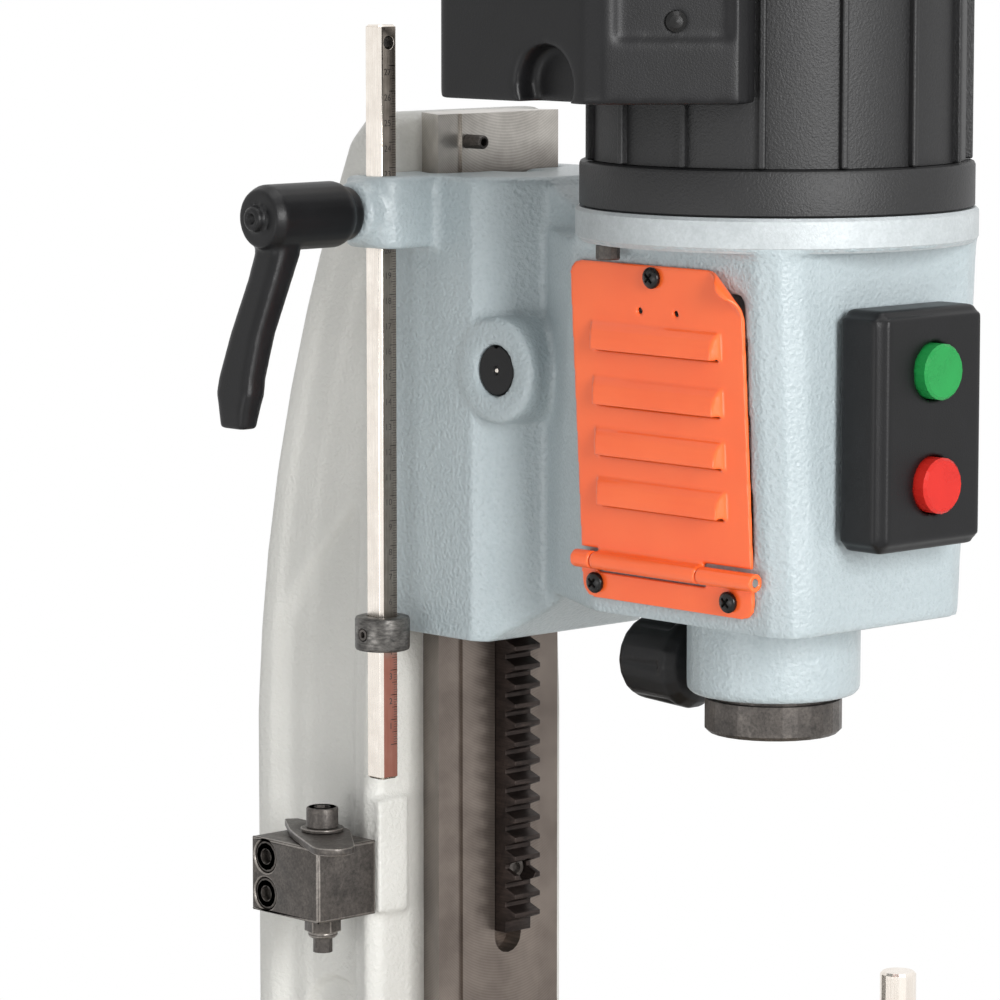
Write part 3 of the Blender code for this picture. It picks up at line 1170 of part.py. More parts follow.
# ---------------------------------------------------------------- motor
def make_motor():
    """The motor from its end bell to its fan cover, its two bolts and its wiring box."""
    axis = (0, SPINDLE_Y, 0)
    low = FLANGE_TOP + GAP
    bell = turned("motor_end_bell", [(0.0085, low), (END_BELL_RADIUS - 0.0008, low),
                                     (END_BELL_RADIUS, low + 0.0008),
                                     (END_BELL_RADIUS, END_BELL_TOP - 0.0008),
                                     (END_BELL_RADIUS - 0.0008, END_BELL_TOP),
                                     (0.0085, END_BELL_TOP)], axis, "Z", 40, ring=True)
    outline = []
    for fin in range(MOTOR_FINS):
        middle = math.tau * fin / MOTOR_FINS
        for radius, offset in ((MOTOR_RADIUS, -0.062), (MOTOR_FIN_RADIUS, -0.034), (MOTOR_FIN_RADIUS, 0.034),
                               (MOTOR_RADIUS, 0.062)):
            angle = middle + offset
            outline.append((radius * math.cos(angle), SPINDLE_Y + radius * math.sin(angle)))
    body = prism("motor_body", outline, END_BELL_TOP + GAP, MOTOR_TOP)
    cut(body, cylinder("shaft_room", 0.0085, axis, END_BELL_TOP - 0.01, END_BELL_TOP + 0.034, steps=24))
    bolts = []
    for name, side in (("motor_bolt_left", -1), ("motor_bolt_right", 1)):
        x, y = motor_bolt_place(side)
        bolts.append(socket_head(name, 0.0047, (x, y, HOUSING_TOP - GAP), 0, out=-1, length=0.024,
                                 shank=0.0026))
        cut(bell, cylinder("bolt_hole", 0.0029, (x, y, 0), low - 0.01, low + 0.013, steps=12))
    cover = make_fan_cover(axis)
    box = make_junction_box(axis)
    return bell, body, bolts, cover, box


def make_fan_cover(axis):
    """A round cap with a ring of air slots in its top."""
    low = MOTOR_TOP + GAP
    radius = MOTOR_FIN_RADIUS + 0.001
    top = low + FAN_COVER_HEIGHT
    outside = [(radius, low), (radius, top - 0.016)]
    outside += [(radius - 0.016 + r, z) for r, z in arc((0, top - 0.016), 0.016, 0, 90, 4)[1:]] + [(0, top)]
    cover = turned("fan_cover", outside, axis, "Z", 32)
    wall = 0.0025
    inside = [(radius - wall, low + 0.004), (radius - wall, top - 0.016), (radius - 0.014, top - wall),
              (0, top - wall)]
    cut(cover, turned("inside", inside, axis, "Z", 24))
    for i in range(FAN_SLOTS):
        slot = block("slot", (0.018, SPINDLE_Y - 0.0028, top - 0.02),
                     (0.054, SPINDLE_Y + 0.0028, top + 0.01))
        turn(slot, axis, 360 * i / FAN_SLOTS, "Z")
        cut(cover, slot)
    return cover


def make_junction_box(axis):
    """Its side wall faces left; its cover slants round the motor, with a panel sunk in it."""
    corner = Vector((-BOX_OUT, LAND_Y - BOX_FRONT, 0))
    tip = Vector((-BOX_TIP_OUT, LAND_Y - BOX_TIP_FRONT, 0))
    soft = 0.004
    along_cover = (tip - corner).normalized()
    plan = [(-BOX_OUT + soft, LAND_Y - BOX_BACK), (-BOX_OUT, LAND_Y - BOX_BACK - soft),
            (corner.x, corner.y + soft),
            tuple((corner + along_cover * soft)[:2]), tuple((tip - along_cover * soft)[:2]),
            (tip.x + soft, tip.y + soft), (-BOX_TIP_IN, LAND_Y - BOX_TIP_FRONT + 0.009),
            (-BOX_IN, LAND_Y - BOX_FRONT),
            (-BOX_IN, LAND_Y - BOX_BACK)]
    box = prism("junction_box", plan, BOX_BOTTOM, BOX_TOP)
    cut(box, cylinder("motor_way", MOTOR_FIN_RADIUS + GAP, axis, BOX_BOTTOM - 0.01, BOX_TOP + 0.01,
                      steps=36))
    notch = (0, LAND_Y - 0.141, BOX_BOTTOM + 0.0065)
    cut(box, cylinder("notch", 0.0146, notch, -BOX_OUT - 0.01, -BOX_OUT + 0.010, "X", 20))
    slant = math.degrees(math.atan2(along_cover.y, along_cover.x))
    middle = (corner + tip) / 2
    sunk = 0.0015
    panel = block("panel", (middle.x - 0.020, middle.y - 0.01, BOX_BOTTOM + 0.023),
                  (middle.x + 0.022, middle.y + sunk, BOX_TOP - 0.012))
    turn(panel, middle, slant, "Z")
    cut(box, panel)
    screw_place = (middle.x + 0.002, 0, BOX_BOTTOM + 0.030)
    seat = middle.y + sunk
    hole = cylinder("screw_hole", 0.0022, screw_place, seat - 0.01, seat + 0.005, "Y", 12)
    turn(hole, middle, slant, "Z")
    cut(box, hole)
    screw = turned("junction_box_screw", [(0.0018, seat + 0.004), (0.0018, seat - GAP), (0.0040, seat - GAP),
                                          (0.0038, seat - 0.0015), (0.0024, seat - 0.0027),
                                          (0, seat - 0.0029)],
                   screw_place, "Y", 20)
    turn(screw, middle, slant, "Z")
    return box, screw


def make_switch():
    """The switch box on the head's front, with its start and stop buttons."""
    face = LAND_Y - HOUSING_FRONT - GAP
    front = face - SWITCH_DEPTH
    box = block("switch_box", (-SWITCH_HALF_WIDTH, front, SWITCH_BOTTOM),
                (SWITCH_HALF_WIDTH, face, SWITCH_TOP), 0.003, 2)
    buttons = []
    for name, share in (("start_button", 0.74), ("stop_button", 0.27)):
        z = SWITCH_BOTTOM + share * (SWITCH_TOP - SWITCH_BOTTOM)
        cut(box, cylinder("way", BUTTON_RADIUS + GAP, (0, 0, z), front - 0.01, front + 0.016, "Y", 20))
        buttons.append(cylinder(name, BUTTON_RADIUS, (0, 0, z), front - 0.005,
                                front + 0.016 - BUTTON_TRAVEL - 0.001,
                                "Y", 20, 0.0010))
    return box, buttons


# ---------------------------------------------------------------- assembly
def main():
    """Makes every piece, gives it its material and puts it in the collection."""
    for old in list(bpy.data.objects):
        bpy.data.objects.remove(old)

    cream = material("column_paint", (0.62, 0.64, 0.60), 0.55, 0.0)
    blue_grey = material("head_paint", (0.29, 0.36, 0.38), 0.45, 0.0)
    orange = material("door_paint", (1.0, 0.16, 0.035), 0.40, 0.0)
    black = material("black_plastic", (0.028, 0.028, 0.030), 0.45, 0.0)
    motor_black = material("motor_paint", (0.022, 0.022, 0.024), 0.50, 0.0)
    dark_steel = material("black_oxide", (0.055, 0.050, 0.048), 0.45, 0.8)
    steel = material("bright_steel", (0.62, 0.58, 0.54), 0.30, 1.0)
    iron = material("machined_iron", (0.20, 0.18, 0.16), 0.45, 0.9)
    board = material("table_board", (0.50, 0.36, 0.21), 0.60, 0.0)
    green = material("green_plastic", (0.02, 0.30, 0.08), 0.40, 0.0)
    red = material("red_plastic", (0.55, 0.02, 0.02), 0.40, 0.0)

    base, table = make_base(), make_table()
    fence, fence_rods, post, post_y = make_fence()
    fork, fork_knob = make_hold_down(post_y)
    rod_z = TABLE_TOP + FENCE_ROD_RISE
    boss_middle = LAND_Y + FENCE_BOSS_BACK + FENCE_BOSS_LENGTH / 2
    fence_knob = knob_with_stud("fence_lock_knob", 0.015, 0.020, 0.0032, 0.0075,
                                (FENCE_ROD_X, boss_middle, rod_z + FENCE_ROD_RADIUS + 0.008), "Z", 1)
    column, column_bolts = make_column(), make_column_bolts()
    rack, rack_screws = make_rack()
    stop_pin = make_stop_pin()
    stop_block, stop_screws, stop, washer, pivot_bolt, nut = make_stop()
    depth_rod, collar, collar_screw = make_depth_rod()
    clamp = make_clamp_lever(-EAR_OUT - EAR_BOSS_LENGTH - GAP)
    gas_tube, gas_rod = make_gas_spring(EAR_BOTTOM)
    head = make_head()
    gib = prism("gib_strip", gib_outline(), HEAD_BOTTOM - 0.006, HEAD_TOP - 0.001)
    shaft, cap, hub, lever, grip = make_drive()
    chuck, bushing, knob = make_spindle()
    left_door, left_hinge = make_door("left", -1)
    right_door, right_hinge = make_door("right", 1)
    bell, body, motor_bolts, cover, (box, box_screw) = make_motor()
    switch, (start, stop_button) = make_switch()

    paint(cream, base, column)
    paint(blue_grey, head, fence)
    paint(orange, *left_door[:2], *right_door[:2])
    paint(black, clamp, grip, knob, fork_knob, fence_knob, box, switch, cap)
    paint(motor_black, bell, body, cover, fork, hub)
    paint(dark_steel, stop_block, stop, washer, pivot_bolt, nut, bushing, collar, collar_screw, gas_tube)
    paint(dark_steel, *stop_screws, *column_bolts, *rack_screws, *motor_bolts, *left_door[3:], box_screw)
    paint(steel, depth_rod, gas_rod, stop_pin, lever, post, left_door[2], right_door[2], *fence_rods)
    paint(iron, rack, gib, shaft, chuck)
    paint(board, table)
    paint(green, start)
    paint(red, stop_button)

    slide = pivot("head_slide_axis", (0, LAND_Y, HEAD_BOTTOM))
    carry(slide, head, gib, cap, bushing, bell, body, cover, box, box_screw, gas_rod, switch, *motor_bolts)
    carry(slide, left_door[1], left_door[2], right_door[1], right_door[2], *left_door[3:])
    carry(pivot("feed_axis", (0, SHAFT_Y, SHAFT_Z), slide), shaft, hub, lever, grip)
    carry(pivot("spindle_axis", (0, SPINDLE_Y, HOUSING_BOTTOM), slide), chuck)
    carry(pivot("chisel_knob_axis", (0, SPINDLE_Y, KNOB_Z), slide), knob)
    carry(pivot("door_left_axis", left_hinge, slide), left_door[0])
    carry(pivot("door_right_axis", right_hinge, slide), right_door[0])
    carry(pivot("start_button_axis", (0, start.data.vertices[0].co.y, SWITCH_TOP), slide), start)
    carry(pivot("stop_button_axis", (0, stop_button.data.vertices[0].co.y, SWITCH_BOTTOM), slide),
          stop_button)
    carry(pivot("clamp_axis", (-EAR_OUT, ROD_Y, (EAR_TOP + EAR_BOTTOM) / 2), slide), clamp)
    rod_axis = pivot("depth_rod_axis", (ROD_X, ROD_Y, ROD_BOTTOM), slide)
    carry(rod_axis, depth_rod)
    carry(pivot("collar_axis", (ROD_X, ROD_Y, COLLAR_BOTTOM), rod_axis), collar, collar_screw)
    carry(pivot("stop_plate_axis", (STOP_PIVOT_X, LAND_Y + STOP_PIVOT_BACK, STOP_BLOCK_BOTTOM)), stop)
    fence_axis = pivot("fence_axis", (0, LAND_Y - FENCE_AHEAD, TABLE_TOP))
    carry(fence_axis, fence, post, *fence_rods)
    carry(pivot("hold_down_axis", (HOLD_POST_X, post_y, HOLD_FORK_Z), fence_axis), fork, fork_knob)
    carry(pivot("fence_knob_axis", (FENCE_ROD_X, boss_middle, TABLE_TOP)), fence_knob)


main()
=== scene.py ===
# %% [markdown]
# # A bench mortiser, finished piece by piece
# The machine is a drilling press for square holes. Its solids are already packed as a fixed frame, in metres.
# This lesson gives each solid the surface of the real one, and models again the pieces whose CAD shape is too
# plain to look at: castings with soft edges, moulded plastic, sheet metal, screws and the rule on the depth rod.

# %% Load the frame
import math

import bpy
from mathutils import Matrix, Vector


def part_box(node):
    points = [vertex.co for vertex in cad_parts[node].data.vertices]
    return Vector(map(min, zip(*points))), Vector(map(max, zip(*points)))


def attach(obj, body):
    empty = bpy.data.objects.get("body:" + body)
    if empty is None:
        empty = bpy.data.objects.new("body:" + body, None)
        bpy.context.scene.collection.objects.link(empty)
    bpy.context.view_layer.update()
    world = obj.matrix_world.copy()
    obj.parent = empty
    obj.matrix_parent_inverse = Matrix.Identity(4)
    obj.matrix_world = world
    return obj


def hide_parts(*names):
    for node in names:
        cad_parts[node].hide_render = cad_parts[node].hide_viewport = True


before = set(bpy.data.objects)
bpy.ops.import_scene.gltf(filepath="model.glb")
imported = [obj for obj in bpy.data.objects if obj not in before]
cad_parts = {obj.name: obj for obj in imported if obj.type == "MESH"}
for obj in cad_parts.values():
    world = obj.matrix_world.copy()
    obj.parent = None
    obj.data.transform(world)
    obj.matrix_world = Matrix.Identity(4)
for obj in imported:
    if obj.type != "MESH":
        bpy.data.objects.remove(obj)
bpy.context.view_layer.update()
scene = bpy.context.scene

# %% [markdown]
# Materials are written with the colours that a paint chart would give, as sRGB hex values. Blender's shaders want
# linear light, so one function converts them. A second function adds a node, sets it and links it in one line.

# %% Colour and node helpers
def linear(code):
    """An sRGB hex colour as linear red, green, blue and alpha."""
    values = [int(code[i:i + 2], 16) / 255 for i in (1, 3, 5)]
    return (*[v / 12.92 if v <= 0.04045 else ((v + 0.055) / 1.055) ** 2.4 for v in values], 1.0)


def add_node(tree, kind, inputs=None, **settings):
    """Adds a node; an input takes a plain value, or another node's output to be linked from."""
    made = tree.nodes.new(kind)
    for name, value in settings.items():
        setattr(made, name, value)
    for name, value in (inputs or {}).items():
        if isinstance(value, bpy.types.NodeSocket):
            tree.links.new(value, made.inputs[name])
        else:
            made.inputs[name].default_value = value
    return made


def per_metre(size_mm):
    """A texture's scale for a feature of that size, because object coordinates are metres."""
    return 1000 / size_mm


def start_material(name, roughness, metallic=0.0, colour="#808080", **sockets):
    """A material with its Principled shader; what is the same all over is set on the shader itself."""
    made = bpy.data.materials.new(name)
    made.use_nodes = True
    tree = made.node_tree
    shader = tree.nodes["Principled BSDF"]
    shader.inputs["Roughness"].default_value = roughness
    shader.inputs["Metallic"].default_value = metallic
    shader.inputs["Base Color"].default_value = linear(colour)
    for socket, value in sockets.items():
        shader.inputs[socket.replace("_", " ")].default_value = value
    place = add_node(tree, "ShaderNodeTexCoord").outputs["Object"]
    return made, tree, shader, place


print("helpers ready; a 2 mm pattern has scale", per_metre(2))

# %% [markdown]
# ## Paint on cast iron
# The column and base wear a pale enamel sprayed over a sand casting, so the eye sees a soft grain about 1.7 mm
# wide under a satin film. Noise drives a bump for the grain, and a much larger noise drifts the colour a little,
# as a hand-sprayed coat does.

# %% Pale enamel on cast iron
made, tree, shader, place = start_material("satin_enamel_on_cast_iron", 0.46, Coat_Weight=0.10, Coat_Roughness=0.3)
drift = add_node(tree, "ShaderNodeTexNoise", {"Vector": place, "Scale": per_metre(70), "Detail": 3})
colour = add_node(tree, "ShaderNodeMix", {"Factor": drift.outputs["Fac"], 6: linear("#C6C6C1"),
                                          7: linear("#DEDDD8")}, data_type="RGBA")
grain = add_node(tree, "ShaderNodeTexNoise", {"Vector": place, "Scale": per_metre(1.7), "Detail": 3,
                                              "Roughness": 0.6})
bump = add_node(tree, "ShaderNodeBump", {"Height": grain.outputs["Fac"], "Strength": 0.8, "Distance": 0.0007})
tree.links.new(colour.outputs[2], shader.inputs["Base Color"])
tree.links.new(bump.outputs["Normal"], shader.inputs["Normal"])
cream_enamel = made
print("made", cream_enamel.name)

# %% [markdown]
# The head is sprayed with a blue-grey hammer paint: the film draws itself into small dimples, about 2 mm across,
# over the grain of the casting. A Voronoi pattern smooths into dimples, and a fine noise roughens their rims.
# The hollows stay a shade darker than the crests.

# %% Hammer paint
made, tree, shader, place = start_material("hammer_paint_on_cast_iron", 0.36, Coat_Weight=0.25,
                                             Coat_Roughness=0.22)
dimples = add_node(tree, "ShaderNodeTexVoronoi", {"Vector": place, "Scale": per_metre(1.8), "Smoothness": 0.8},
                   feature="SMOOTH_F1")
grain = add_node(tree, "ShaderNodeTexNoise", {"Vector": place, "Scale": per_metre(1.3), "Detail": 3})
film = add_node(tree, "ShaderNodeMath", {0: dimples.outputs["Distance"], 1: 0.7}, operation="MULTIPLY")
height = add_node(tree, "ShaderNodeMath", {0: film.outputs[0], 1: grain.outputs["Fac"]}, operation="ADD")
bump = add_node(tree, "ShaderNodeBump", {"Height": height.outputs[0], "Strength": 0.75, "Distance": 0.0006})
drift = add_node(tree, "ShaderNodeTexNoise", {"Vector": place, "Scale": per_metre(45), "Detail": 3})
tone = add_node(tree, "ShaderNodeMix", {"Factor": drift.outputs["Fac"], 6: linear("#98A4A8"),
                                        7: linear("#A9B4B8")}, data_type="RGBA")
speck = add_node(tree, "ShaderNodeMapRange", {"Value": height.outputs[0], "From Min": 0.35, "From Max": 1.0,
                                              "To Min": 0.0, "To Max": 0.35})
colour = add_node(tree, "ShaderNodeMix", {"Factor": speck.outputs[0], 6: tone.outputs[2],
                                          7: linear("#B9C3C6")}, data_type="RGBA")
tree.links.new(colour.outputs[2], shader.inputs["Base Color"])
tree.links.new(bump.outputs["Normal"], shader.inputs["Normal"])
hammer_paint = made
print("made", hammer_paint.name)

# %% [markdown]
# The motor's shells have a black texture paint, rougher and duller: a fine wrinkle about 0.9 mm wide, coarse
# enough here to show. The doors have a smooth orange powder coat whose orange peel is 3 mm wide and shallow.

# %% Texture paint and powder coat
made, tree, shader, place = start_material("black_texture_paint_on_aluminium", 0.5, Specular_IOR_Level=0.45)
wrinkle = add_node(tree, "ShaderNodeTexNoise", {"Vector": place, "Scale": per_metre(0.9), "Detail": 2,
                                                "Roughness": 0.65})
bump = add_node(tree, "ShaderNodeBump", {"Height": wrinkle.outputs["Fac"], "Strength": 0.6, "Distance": 0.0004})
colour = add_node(tree, "ShaderNodeMix", {"Factor": wrinkle.outputs["Fac"], 6: linear("#0C0C0D"),
                                          7: linear("#1C1C1D")}, data_type="RGBA")
tree.links.new(colour.outputs[2], shader.inputs["Base Color"])
tree.links.new(bump.outputs["Normal"], shader.inputs["Normal"])
motor_paint = made

made, tree, shader, place = start_material("orange_powder_coat_on_steel", 0.28, Coat_Weight=0.35,
                                             Coat_Roughness=0.08)
peel = add_node(tree, "ShaderNodeTexNoise", {"Vector": place, "Scale": per_metre(3), "Detail": 2})
bump = add_node(tree, "ShaderNodeBump", {"Height": peel.outputs["Fac"], "Strength": 0.15, "Distance": 0.0003})
drift = add_node(tree, "ShaderNodeTexNoise", {"Vector": place, "Scale": per_metre(30), "Detail": 2})
colour = add_node(tree, "ShaderNodeMix", {"Factor": drift.outputs["Fac"], 6: linear("#F75F22"),
                                          7: linear("#FF7032")}, data_type="RGBA")
tree.links.new(colour.outputs[2], shader.inputs["Base Color"])
tree.links.new(bump.outputs["Normal"], shader.inputs["Normal"])
orange_coat = made
print("made", motor_paint.name, orange_coat.name)

# %% [markdown]
# ## Plastics
# The wiring box, the clamp lever and the knobs are glass-filled nylon: black, satin, with a faint spark-eroded
# grain of about 0.6 mm and a soft streak where the melt flowed. The switch caps are smooth coloured acetal.
# One function makes them all, because only the colour, the shine and the depth of the grain differ.

# %% Moulded plastics
def moulded_plastic(name, dark, light, roughness, grain_depth):
    """Plastic from a spark-eroded mould: a 0.6 mm grain and 12 mm flow streaks in its colour and shine."""
    made, tree, shader, place = start_material(name, roughness, Specular_IOR_Level=0.28)
    grain = add_node(tree, "ShaderNodeTexNoise", {"Vector": place, "Scale": per_metre(0.6), "Detail": 2})
    flow = add_node(tree, "ShaderNodeTexNoise", {"Vector": place, "Scale": per_metre(12), "Detail": 3,
                                                 "Distortion": 0.6})
    colour = add_node(tree, "ShaderNodeMix", {"Factor": flow.outputs["Fac"], 6: linear(dark), 7: linear(light)},
                      data_type="RGBA")
    shine = add_node(tree, "ShaderNodeMapRange", {"Value": flow.outputs["Fac"], "To Min": roughness - 0.06,
                                                  "To Max": roughness + 0.06})
    bump = add_node(tree, "ShaderNodeBump", {"Height": grain.outputs["Fac"], "Strength": 0.3,
                                             "Distance": grain_depth})
    tree.links.new(colour.outputs[2], shader.inputs["Base Color"])
    tree.links.new(shine.outputs[0], shader.inputs["Roughness"])
    tree.links.new(bump.outputs["Normal"], shader.inputs["Normal"])
    return made


black_nylon = moulded_plastic("black_glass_filled_nylon", "#0B0B0C", "#131315", 0.40, 0.0002)
green_acetal = moulded_plastic("green_acetal", "#1C7F3D", "#249148", 0.28, 0.0001)
red_acetal = moulded_plastic("red_acetal", "#B7211B", "#CB2B22", 0.28, 0.0001)
print("made", black_nylon.name, green_acetal.name, red_acetal.name)

# %% [markdown]
# ## Bare and blackened steel
# Steel parts are drawn, turned or milled, and the tool leaves lines along its path. A noise stretched along one
# direction gives those lines. Black oxide is a thin dark film on the same steel, and a patchy noise thins it. It
# wears through on sharp edges, so a second, brighter finish waits for the bevels of the blackened pieces. The
# rule's face is a darker copy of the bright steel, as a painted reflection of the head that it faces, and below
# the collar its colour turns red-brown, as a painted reflection of the orange door.

# %% Steel finishes
def lined_steel(name, dark, light, roughness, stretch, line_mm, metallic=1.0, depth=0.00012):
    """Steel with fine tool lines; stretch gives the pattern's scale along x, y and z."""
    made, tree, shader, place = start_material(name, roughness, metallic)
    lay = add_node(tree, "ShaderNodeMapping", {"Vector": place, "Scale": stretch})
    lines = add_node(tree, "ShaderNodeTexNoise", {"Vector": lay.outputs[0], "Scale": per_metre(line_mm),
                                                  "Detail": 3, "Roughness": 0.7})
    patches = add_node(tree, "ShaderNodeTexNoise", {"Vector": place, "Scale": per_metre(9), "Detail": 4,
                                                    "Roughness": 0.65})
    both = add_node(tree, "ShaderNodeMath", {0: lines.outputs["Fac"], 1: patches.outputs["Fac"]},
                    operation="MULTIPLY")
    share = add_node(tree, "ShaderNodeMapRange", {"Value": both.outputs[0], "From Min": 0.1, "From Max": 0.45})
    colour = add_node(tree, "ShaderNodeMix", {"Factor": share.outputs[0], 6: linear(dark), 7: linear(light)},
                      data_type="RGBA")
    shine = add_node(tree, "ShaderNodeMapRange", {"Value": share.outputs[0], "To Min": roughness + 0.08,
                                                  "To Max": roughness - 0.06})
    bump = add_node(tree, "ShaderNodeBump", {"Height": lines.outputs["Fac"], "Strength": 0.25, "Distance": depth})
    tree.links.new(colour.outputs[2], shader.inputs["Base Color"])
    tree.links.new(shine.outputs[0], shader.inputs["Roughness"])
    tree.links.new(bump.outputs["Normal"], shader.inputs["Normal"])
    return made


along_z = (1.0, 1.0, 0.03)
across_z = (0.08, 0.08, 1.0)
even = (1.0, 1.0, 1.0)
drawn_steel = lined_steel("drawn_bright_steel", "#E4DBD1", "#FFF8EF", 0.24, along_z, 0.5)
# the rule face's darker colours are a painted reflection of the head that this face looks at
rule_face = lined_steel("satin_rule_face_painted_reflection", "#7C736A", "#A89F95", 0.40, along_z, 0.5)
tree = rule_face.node_tree
shader = tree.nodes["Principled BSDF"]
untinted_rule_colour = shader.inputs["Base Color"].links[0].from_socket
collar_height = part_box("depth_collar")[0].z
height = add_node(tree, "ShaderNodeSeparateXYZ", {0: add_node(tree, "ShaderNodeTexCoord").outputs["Object"]})
# painted reflection: below the collar the rule's face is mixed toward red-brown, standing for the orange door that
# it reflects
below = add_node(tree, "ShaderNodeMapRange", {"Value": height.outputs["Z"], "From Min": collar_height + 0.002,
                                              "From Max": collar_height - 0.004, "To Max": 0.75})
orange_door_reflection = add_node(tree, "ShaderNodeMix", {"Factor": below.outputs[0], 6: untinted_rule_colour, 7: linear("#A5604F")},
                 data_type="RGBA")
tree.links.new(orange_door_reflection.outputs[2], shader.inputs["Base Color"])
turned_steel = lined_steel("turned_bright_steel", "#9A9894", "#C9C7C3", 0.28, across_z, 0.5)
black_oxide = lined_steel("black_oxide_on_steel", "#312E2C", "#655F5A", 0.42, even, 1.2, 0.5)
scuffed_oxide = lined_steel("scuffed_black_oxide", "#232221", "#7E7B77", 0.36, (0.25, 0.25, 1.0), 0.9, 0.7)
rack_steel = lined_steel("oiled_dark_rack_steel", "#1F1A18", "#463C38", 0.42, across_z, 0.8, 0.8)
# painted light: the ring's grey is paler than the head's paint, for the light that the ring catches
ring_paint_with_painted_light = lined_steel("paler_ring_paint_painted_light", "#A6ACAE", "#BDC3C5", 0.42, even, 1.3, 0.1, 0.0006)
worn_edge = lined_steel("worn_steel_edge", "#6B6661", "#A09A94", 0.35, even, 1.2, 0.7)
black_screw = lined_steel("blackened_screw", "#0B0B0B", "#1C1B1B", 0.26, even, 0.8, 0.4)
print("made", drawn_steel.name, turned_steel.name, black_oxide.name, rack_steel.name, ring_paint_with_painted_light.name)

# %% [markdown]
# The column's front is milled, not ground: a face mill about 90 mm across climbs the dovetail and leaves one arc
# for each millimetre of feed. The arcs are the sine of height plus the drop of a circle of that radius. The iron
# is a browner grey, except in the top 30 mm, where it is brighter.

# %% Fly-cut iron
MILL_RADIUS = 0.045
FEED = 0.0012
made, tree, shader, place = start_material("fly_cut_cast_iron", 0.36, 0.85)
axes = add_node(tree, "ShaderNodeSeparateXYZ", {0: place})
across = add_node(tree, "ShaderNodeMath", {0: axes.outputs["X"], 1: axes.outputs["X"]}, operation="MULTIPLY")
rest = add_node(tree, "ShaderNodeMath", {0: MILL_RADIUS ** 2, 1: across.outputs[0]}, operation="SUBTRACT")
drop = add_node(tree, "ShaderNodeMath", {0: rest.outputs[0]}, operation="SQRT")
arc_height = add_node(tree, "ShaderNodeMath", {0: axes.outputs["Z"], 1: drop.outputs[0]}, operation="ADD")
turns = add_node(tree, "ShaderNodeMath", {0: arc_height.outputs[0], 1: math.tau / FEED}, operation="MULTIPLY")
arcs = add_node(tree, "ShaderNodeMath", {0: turns.outputs[0]}, operation="SINE")
stain = add_node(tree, "ShaderNodeTexNoise", {"Vector": place, "Scale": per_metre(28), "Detail": 5,
                                              "Roughness": 0.6})
fine = add_node(tree, "ShaderNodeTexNoise", {"Vector": place, "Scale": per_metre(1.4), "Detail": 3})
wave = add_node(tree, "ShaderNodeMapRange", {"Value": arcs.outputs[0], "From Min": -1, "From Max": 1,
                                             "To Min": -0.07, "To Max": 0.07})
mottled = add_node(tree, "ShaderNodeMath", {0: stain.outputs["Fac"], 1: wave.outputs[0]}, operation="ADD")
share = add_node(tree, "ShaderNodeMapRange", {"Value": mottled.outputs[0], "From Min": 0.3, "From Max": 0.75})
# browner iron everywhere except the top 30 mm of the column, which mixes to brighter iron
browner_iron = add_node(tree, "ShaderNodeMix", {"Factor": share.outputs[0], 6: linear("#665D57"),
                                         7: linear("#887E76")}, data_type="RGBA")
brighter_top_iron = add_node(tree, "ShaderNodeMix", {"Factor": share.outputs[0], 6: linear("#A39E98"),
                                         7: linear("#D8D3CC")}, data_type="RGBA")
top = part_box("column_casting")[1].z
up = add_node(tree, "ShaderNodeMapRange", {"Value": axes.outputs["Z"], "From Min": top - 0.03,
                                           "From Max": top - 0.012})
colour = add_node(tree, "ShaderNodeMix", {"Factor": up.outputs[0], 6: browner_iron.outputs[2], 7: brighter_top_iron.outputs[2]},
                  data_type="RGBA")
ridges = add_node(tree, "ShaderNodeMath", {0: wave.outputs[0], 1: fine.outputs["Fac"]}, operation="ADD")
bump = add_node(tree, "ShaderNodeBump", {"Height": ridges.outputs[0], "Strength": 0.25, "Distance": 0.0002})
tree.links.new(colour.outputs[2], shader.inputs["Base Color"])
tree.links.new(bump.outputs["Normal"], shader.inputs["Normal"])
fly_cut_iron = made
print("made", fly_cut_iron.name)

# %% [markdown]
# The table is a board of pressed fibre: pale brown, with fibres 3 mm long that lie flat, and dull all over.

# %% Fibre board
made, tree, shader, place = start_material("pressed_fibre_board", 0.75)
fibres = add_node(tree, "ShaderNodeTexNoise", {"Vector": place, "Scale": per_metre(3), "Detail": 6,
                                               "Roughness": 0.7, "Distortion": 0.8})
colour = add_node(tree, "ShaderNodeMix", {"Factor": fibres.outputs["Fac"], 6: linear("#A98F69"),
                                          7: linear("#CDB68F")}, data_type="RGBA")
bump = add_node(tree, "ShaderNodeBump", {"Height": fibres.outputs["Fac"], "Strength": 0.3, "Distance": 0.0002})
tree.links.new(colour.outputs[2], shader.inputs["Base Color"])
tree.links.new(bump.outputs["Normal"], shader.inputs["Normal"])
fibre_board = made
print("made", fibre_board.name)

# %% [markdown]
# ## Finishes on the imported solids
# Many solids already have the right shape: screws, pins and turned parts. They keep it and take a finish. A node's
# material slots are filled in place, so its mesh isn't touched.

